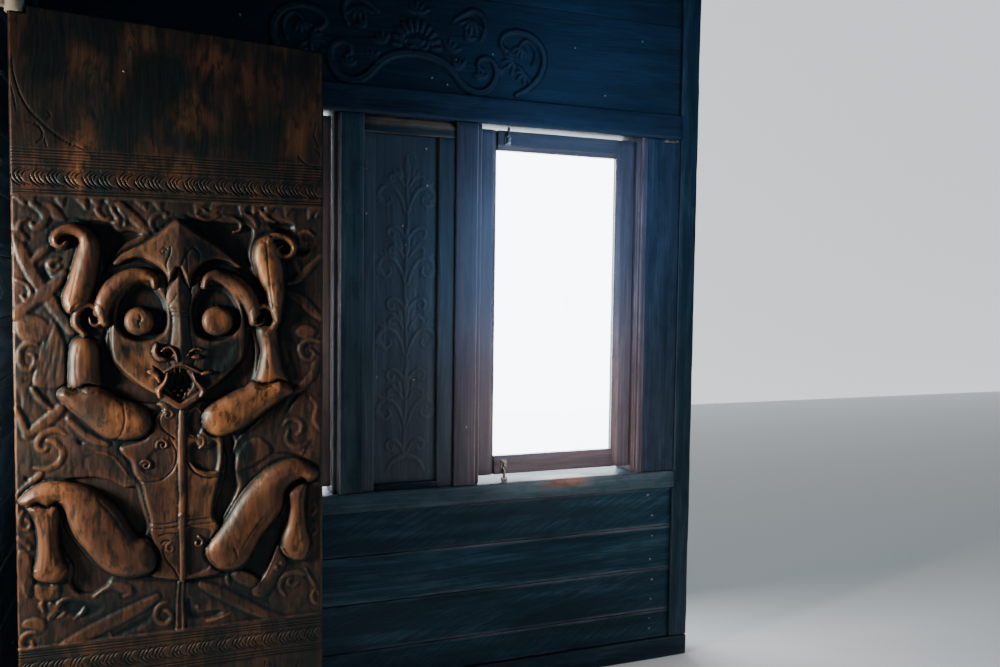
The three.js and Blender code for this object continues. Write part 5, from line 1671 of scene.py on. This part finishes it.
def buildBolt(side, title, hand, level):
    # a plate with two straps, a rod that slides in them, its knob and four screws; the low one has a keeper
    z0, z1, reach = bolts[level]
    x = window["bolt"] if hand > 0 else wallSize["leftShift"] - window["bolt"]
    look = dict(barLook, bevel=1.4, spacing=9.0, step=12.0, uneven=0.1, wear=0.1, rub=0.0)
    parts = [roundedPlate((x - 12, -33.2, z0), (x + 12, -29.6, z1), look)]
    down = reach < z0
    rodLow, rodHigh = (reach, z1 - 4) if down else (z0 + 4, reach)
    rod = [(0, rodLow), (3.2, rodLow), (4.6, rodLow + 3), (4.6, rodHigh - 2), (3.4, rodHigh), (0, rodHigh)]
    parts.append(turnedForm(rod, (x, -38.4, 0), 16))
    if down:
        parts.append(roundedPlate((x - 11, -44.0, 730.3), (x + 11, -33.0, 744.0), dict(look, bevel=2.0)))
    for z in (z0 + 8, z1 - 8):
        parts.append(roundedPlate((x - 8, -43.4, z - 3.5), (x + 8, -33.0, z + 3.5), dict(look, bevel=1.6)))
    knob = [(0, 32), (2.6, 32), (2.6, 40.5), (4.4, 41.5), (4.6, 43), (3.2, 44), (0, 44)]
    parts.append(roundHead(knob, x, 0, (z0 + z1) / 2, 14))
    screw = [(0, 32.6), (2.3, 32.6), (2.2, 34.0), (1.2, 34.7), (0, 34.8)]
    for z in (z0 + 3, z1 - 3):
        for aside in (-8.4, 8.4):
            parts.append(roundHead(screw, x + aside, 0, z))
    makePiece(f"window{title}Bolt{level.capitalize()}", joinParts(parts), "iron",
              f"window_{side}_bolt_{level}", "aged_iron")


for side, hand in (("left", -1), ("right", 1)):
    buildSash(side, side.capitalize(), hand)
    for level in bolts:
        buildBolt(side, side.capitalize(), hand, level)
print("windows done")


# pivots of the leaf, nails

def ringForm(outlineAt, z0, z1, sides, tone):
    # a block with the pivot's round hole; outlineAt gives the outer reach for an angle
    ease = 2.0
    levels = [("in", z0 + ease, 0.0), ("in", z0, ease), ("out", z0, -ease), ("out", z0 + ease, 0.0),
              ("out", z1 - ease, 0.0), ("out", z1, -ease), ("in", z1, ease), ("in", z1 - ease, 0.0)]
    points = []
    for kind, z, grow in levels:
        for k in range(sides):
            angle = 2 * math.pi * k / sides
            reach = (pivot["bore"] if kind == "in" else outlineAt(angle)) + grow
            points.append((pivot["x"] + reach * math.cos(angle), pivot["y"] + reach * math.sin(angle), z))
    faces = []
    count = len(levels)
    for level in range(count):
        below = level * sides
        above = ((level + 1) % count) * sides
        for k in range(sides):
            j = (k + 1) % sides
            faces.append((below + k, below + j, above + j, above + k))
    return np.array(points), faces, np.tile(tone, (len(points), 1)), [True] * len(faces)


def buildPivots():
    eye = ringForm(lambda angle: pivot["outer"], pivot["low"], pivot["high"], 48, (0.35, 0.55, 0.5))
    look = dict(barLook, bevel=2.4, spacing=6.0, step=9.0, uneven=0.5, wear=0.6, rub=0.4, board=0.6)
    arm = loftBar(rectangle(-430, -404, 2095, 2145), (-1147, -1099), "x", look, 12)
    makePiece("topPivotEye", joinParts([eye, arm]), "pale", "top_pivot_eye", "pale_timber")
    low, high = inMm(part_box("bottom_pivot_block"))

    def blockReach(angle):
        c, s = math.cos(angle), math.sin(angle)
        reachX = ((high[0] if c > 0 else low[0]) - pivot["x"]) / c if abs(c) > 1e-6 else farAway
        reachY = ((high[1] if s > 0 else low[1]) - pivot["y"]) / s if abs(s) > 1e-6 else farAway
        return min(reachX, reachY)

    block = ringForm(blockReach, low[2], high[2], 96, (0.3, 0.5, 0.4))
    makePiece("bottomPivotBlock", flatFaced(block), "darkX", "bottom_pivot_block")


def buildNails():
    # forged nail heads where the boards are fixed to the frame behind them
    spots = [(626, 2277, -62), (314, 2221, -62), (182, 2188, -62), (97, 2120, -62), (151, 2102, -62),
             (750, 2120, -62), (-520, 2250, -62), (-760, 2120, -62), (900, 2330, -62), (-930, 2320, -62),
             (561, 669, -62), (229, 936, -70), (84, 1886, -46), (47, 1852, -46), (89, 1762, -46),
             (3, 1625, -46), (16, 1560, -46), (-83, 1116, -46), (46, 1103, -46), (-124, 1804, -60),
             (-124, 1659, -60)]
    for z in (120, 160, 235, 310, 390, 480, 560, 640):
        for x in (-980, 980):
            spots.append((x + 14 * math.sin(z + x), z, -58))
    parts = []
    for k, (x, z, y) in enumerate(spots):
        size = 4.2 + 0.8 * math.sin(k * 2.3)
        head = [(0, -2.0), (size, -2.0), (size, 0.2), (size * 0.75, 1.3), (0, 1.8)]
        parts.append(roundHead(head, x, y, z))
    makePiece("wallNails", joinParts(parts), "iron", [], "aged_iron")


buildPivots()
buildNails()
print("pivots and nails done")


# floor, backdrop, light and camera

def stagePlane(name, corners, colour, glow):
    mesh = bpy.data.meshes.new(name)
    mesh.from_pydata(corners, [], [tuple(range(len(corners)))])
    material = bpy.data.materials.new(name + "Paint")
    material.use_nodes = True
    shader = material.node_tree.nodes["Principled BSDF"]
    inputOf(shader, "Base Color", (*colour, 1))
    inputOf(shader, "Roughness", 0.85)
    inputOf(shader, "Emission Color", (*colour, 1))
    inputOf(shader, "Emission Strength", glow)
    mesh.materials.append(material)
    piece = addToScene(name, mesh)


studio = {
    "room": (-9, 14, -8, 6.2, 7),
    "floor": (0.78, 0.78, 0.76), "floorGlow": 0.10, "backdrop": (0.93, 0.97, 1.0), "backdropGlow": 0.9,
    "worldColour": (0.38, 0.64, 1.0), "worldStrength": 0.07,
    "keyPower": 42.0, "keySize": 0.45, "keySpread": 95.0, "keyColour": (1.0, 0.93, 0.85),
    "keyPlace": (-2.45, -0.96, 1.34), "keyAim": (-0.80, -0.45, 1.05),
    "fillPower": 20.0, "fillSize": 2.2, "fillColour": (0.42, 0.72, 1.0), "fillPlace": (2.6, -3.0, 2.0),
    "fillAim": (0.1, -0.1, 1.3),
    "skyPower": 36.0, "skyColour": (0.90, 0.96, 1.0), "skyMiddle": {"left": -0.45, "right": 0.83},
    "skyWidth": 0.82, "skyHeight": 1.56, "skyDepth": 0.52, "skyLevel": 1.35,
    "hazeWidth": 0.5, "hazeHeight": 0.55, "hazeSpread": 150.0,
    "rimPower": 5.5, "rimColour": (1.0, 0.86, 0.84), "rimPlace": (-0.66, -0.13, 1.28),
    "haze": [((0.58, -0.44, 1.50), 3.2, (0.30, 0.58, 1.0)), ((0.64, -0.44, 1.00), 2.0, (1.0, 0.76, 0.62)),
             ((0.78, -0.62, 2.26), 1.7, (0.18, 0.44, 1.0))],
}
left, right, front, rear, top = studio["room"]
stagePlane("studioFloor", [(left, front, 0), (right, front, 0), (right, rear, 0), (left, rear, 0)],
           studio["floor"], studio["floorGlow"])
stagePlane("studioBackdrop", [(left, rear, 0), (right, rear, 0), (right, rear, top), (left, rear, top)],
           studio["backdrop"], studio["backdropGlow"])


def areaLight(name, place, aim, power, size, colour, spread=180.0, tall=None):
    light = bpy.data.lights.new(name, "AREA")
    light.energy = power
    light.size = size
    if tall:
        light.shape = "RECTANGLE"
        light.size_y = tall
    light.color = colour
    light.spread = math.radians(spread)
    holder = addToScene(name, light)
    holder.location = place
    holder.rotation_euler = (Vector(aim) - Vector(place)).to_track_quat("-Z", "Y").to_euler()


areaLight("keyLight", studio["keyPlace"], studio["keyAim"], studio["keyPower"], studio["keySize"],
          studio["keyColour"], studio["keySpread"])
areaLight("fillLight", studio["fillPlace"], studio["fillAim"], studio["fillPower"], studio["fillSize"],
          studio["fillColour"])
for side, x in studio["skyMiddle"].items():
    # the bright sky that stands in the windows
    place = (x, studio["skyDepth"], studio["skyLevel"])
    areaLight(f"windowSky{side.capitalize()}", place, (x, -3.0, studio["skyLevel"]), studio["skyPower"],
              studio["skyWidth"], studio["skyColour"], 180.0, studio["skyHeight"])
for k, (place, power, colour) in enumerate(studio["haze"]):
    # the coloured haze round the windows
    areaLight(f"hazeLight{k}", place, (place[0], 0.0, place[2]), power, studio["hazeWidth"], colour,
              studio["hazeSpread"], studio["hazeHeight"])
rim = bpy.data.lights.new("rimLight", "POINT")
rim.energy = studio["rimPower"]
rim.color = studio["rimColour"]
rim.shadow_soft_size = 0.0
addToScene("rimLight", rim).location = studio["rimPlace"]
world = bpy.data.worlds.new("studioAir")
world.use_nodes = True
background = world.node_tree.nodes["Background"]
inputOf(background, "Color", (*studio["worldColour"], 1))
inputOf(background, "Strength", studio["worldStrength"])
bpy.context.scene.world = world

viewPoint = {"place": (-0.729, -2.870, 1.420), "lens": 30.92, "sensor": 36.0, "yaw": 21.09, "pitch": -3.045,
             "roll": 0.756}
yaw, pitch, roll = (math.radians(viewPoint[key]) for key in ("yaw", "pitch", "roll"))
ahead = Vector((math.sin(yaw) * math.cos(pitch), math.cos(yaw) * math.cos(pitch), math.sin(pitch)))
rightHand = Vector((math.cos(yaw), -math.sin(yaw), 0.0))
overHead = rightHand.cross(ahead)
rolledRight = rightHand * math.cos(roll) + overHead * math.sin(roll)
rolledUp = overHead * math.cos(roll) - rightHand * math.sin(roll)
cameraData = bpy.data.cameras.new("photoCamera")
cameraData.lens = viewPoint["lens"]
cameraData.sensor_width = viewPoint["sensor"]
camera = addToScene("photoCamera", cameraData)
turn = Matrix((rolledRight, rolledUp, -ahead)).transposed().to_4x4()
camera.matrix_world = Matrix.Translation(Vector(viewPoint["place"])) @ turn
bpy.context.scene.camera = camera
print("studio ready")
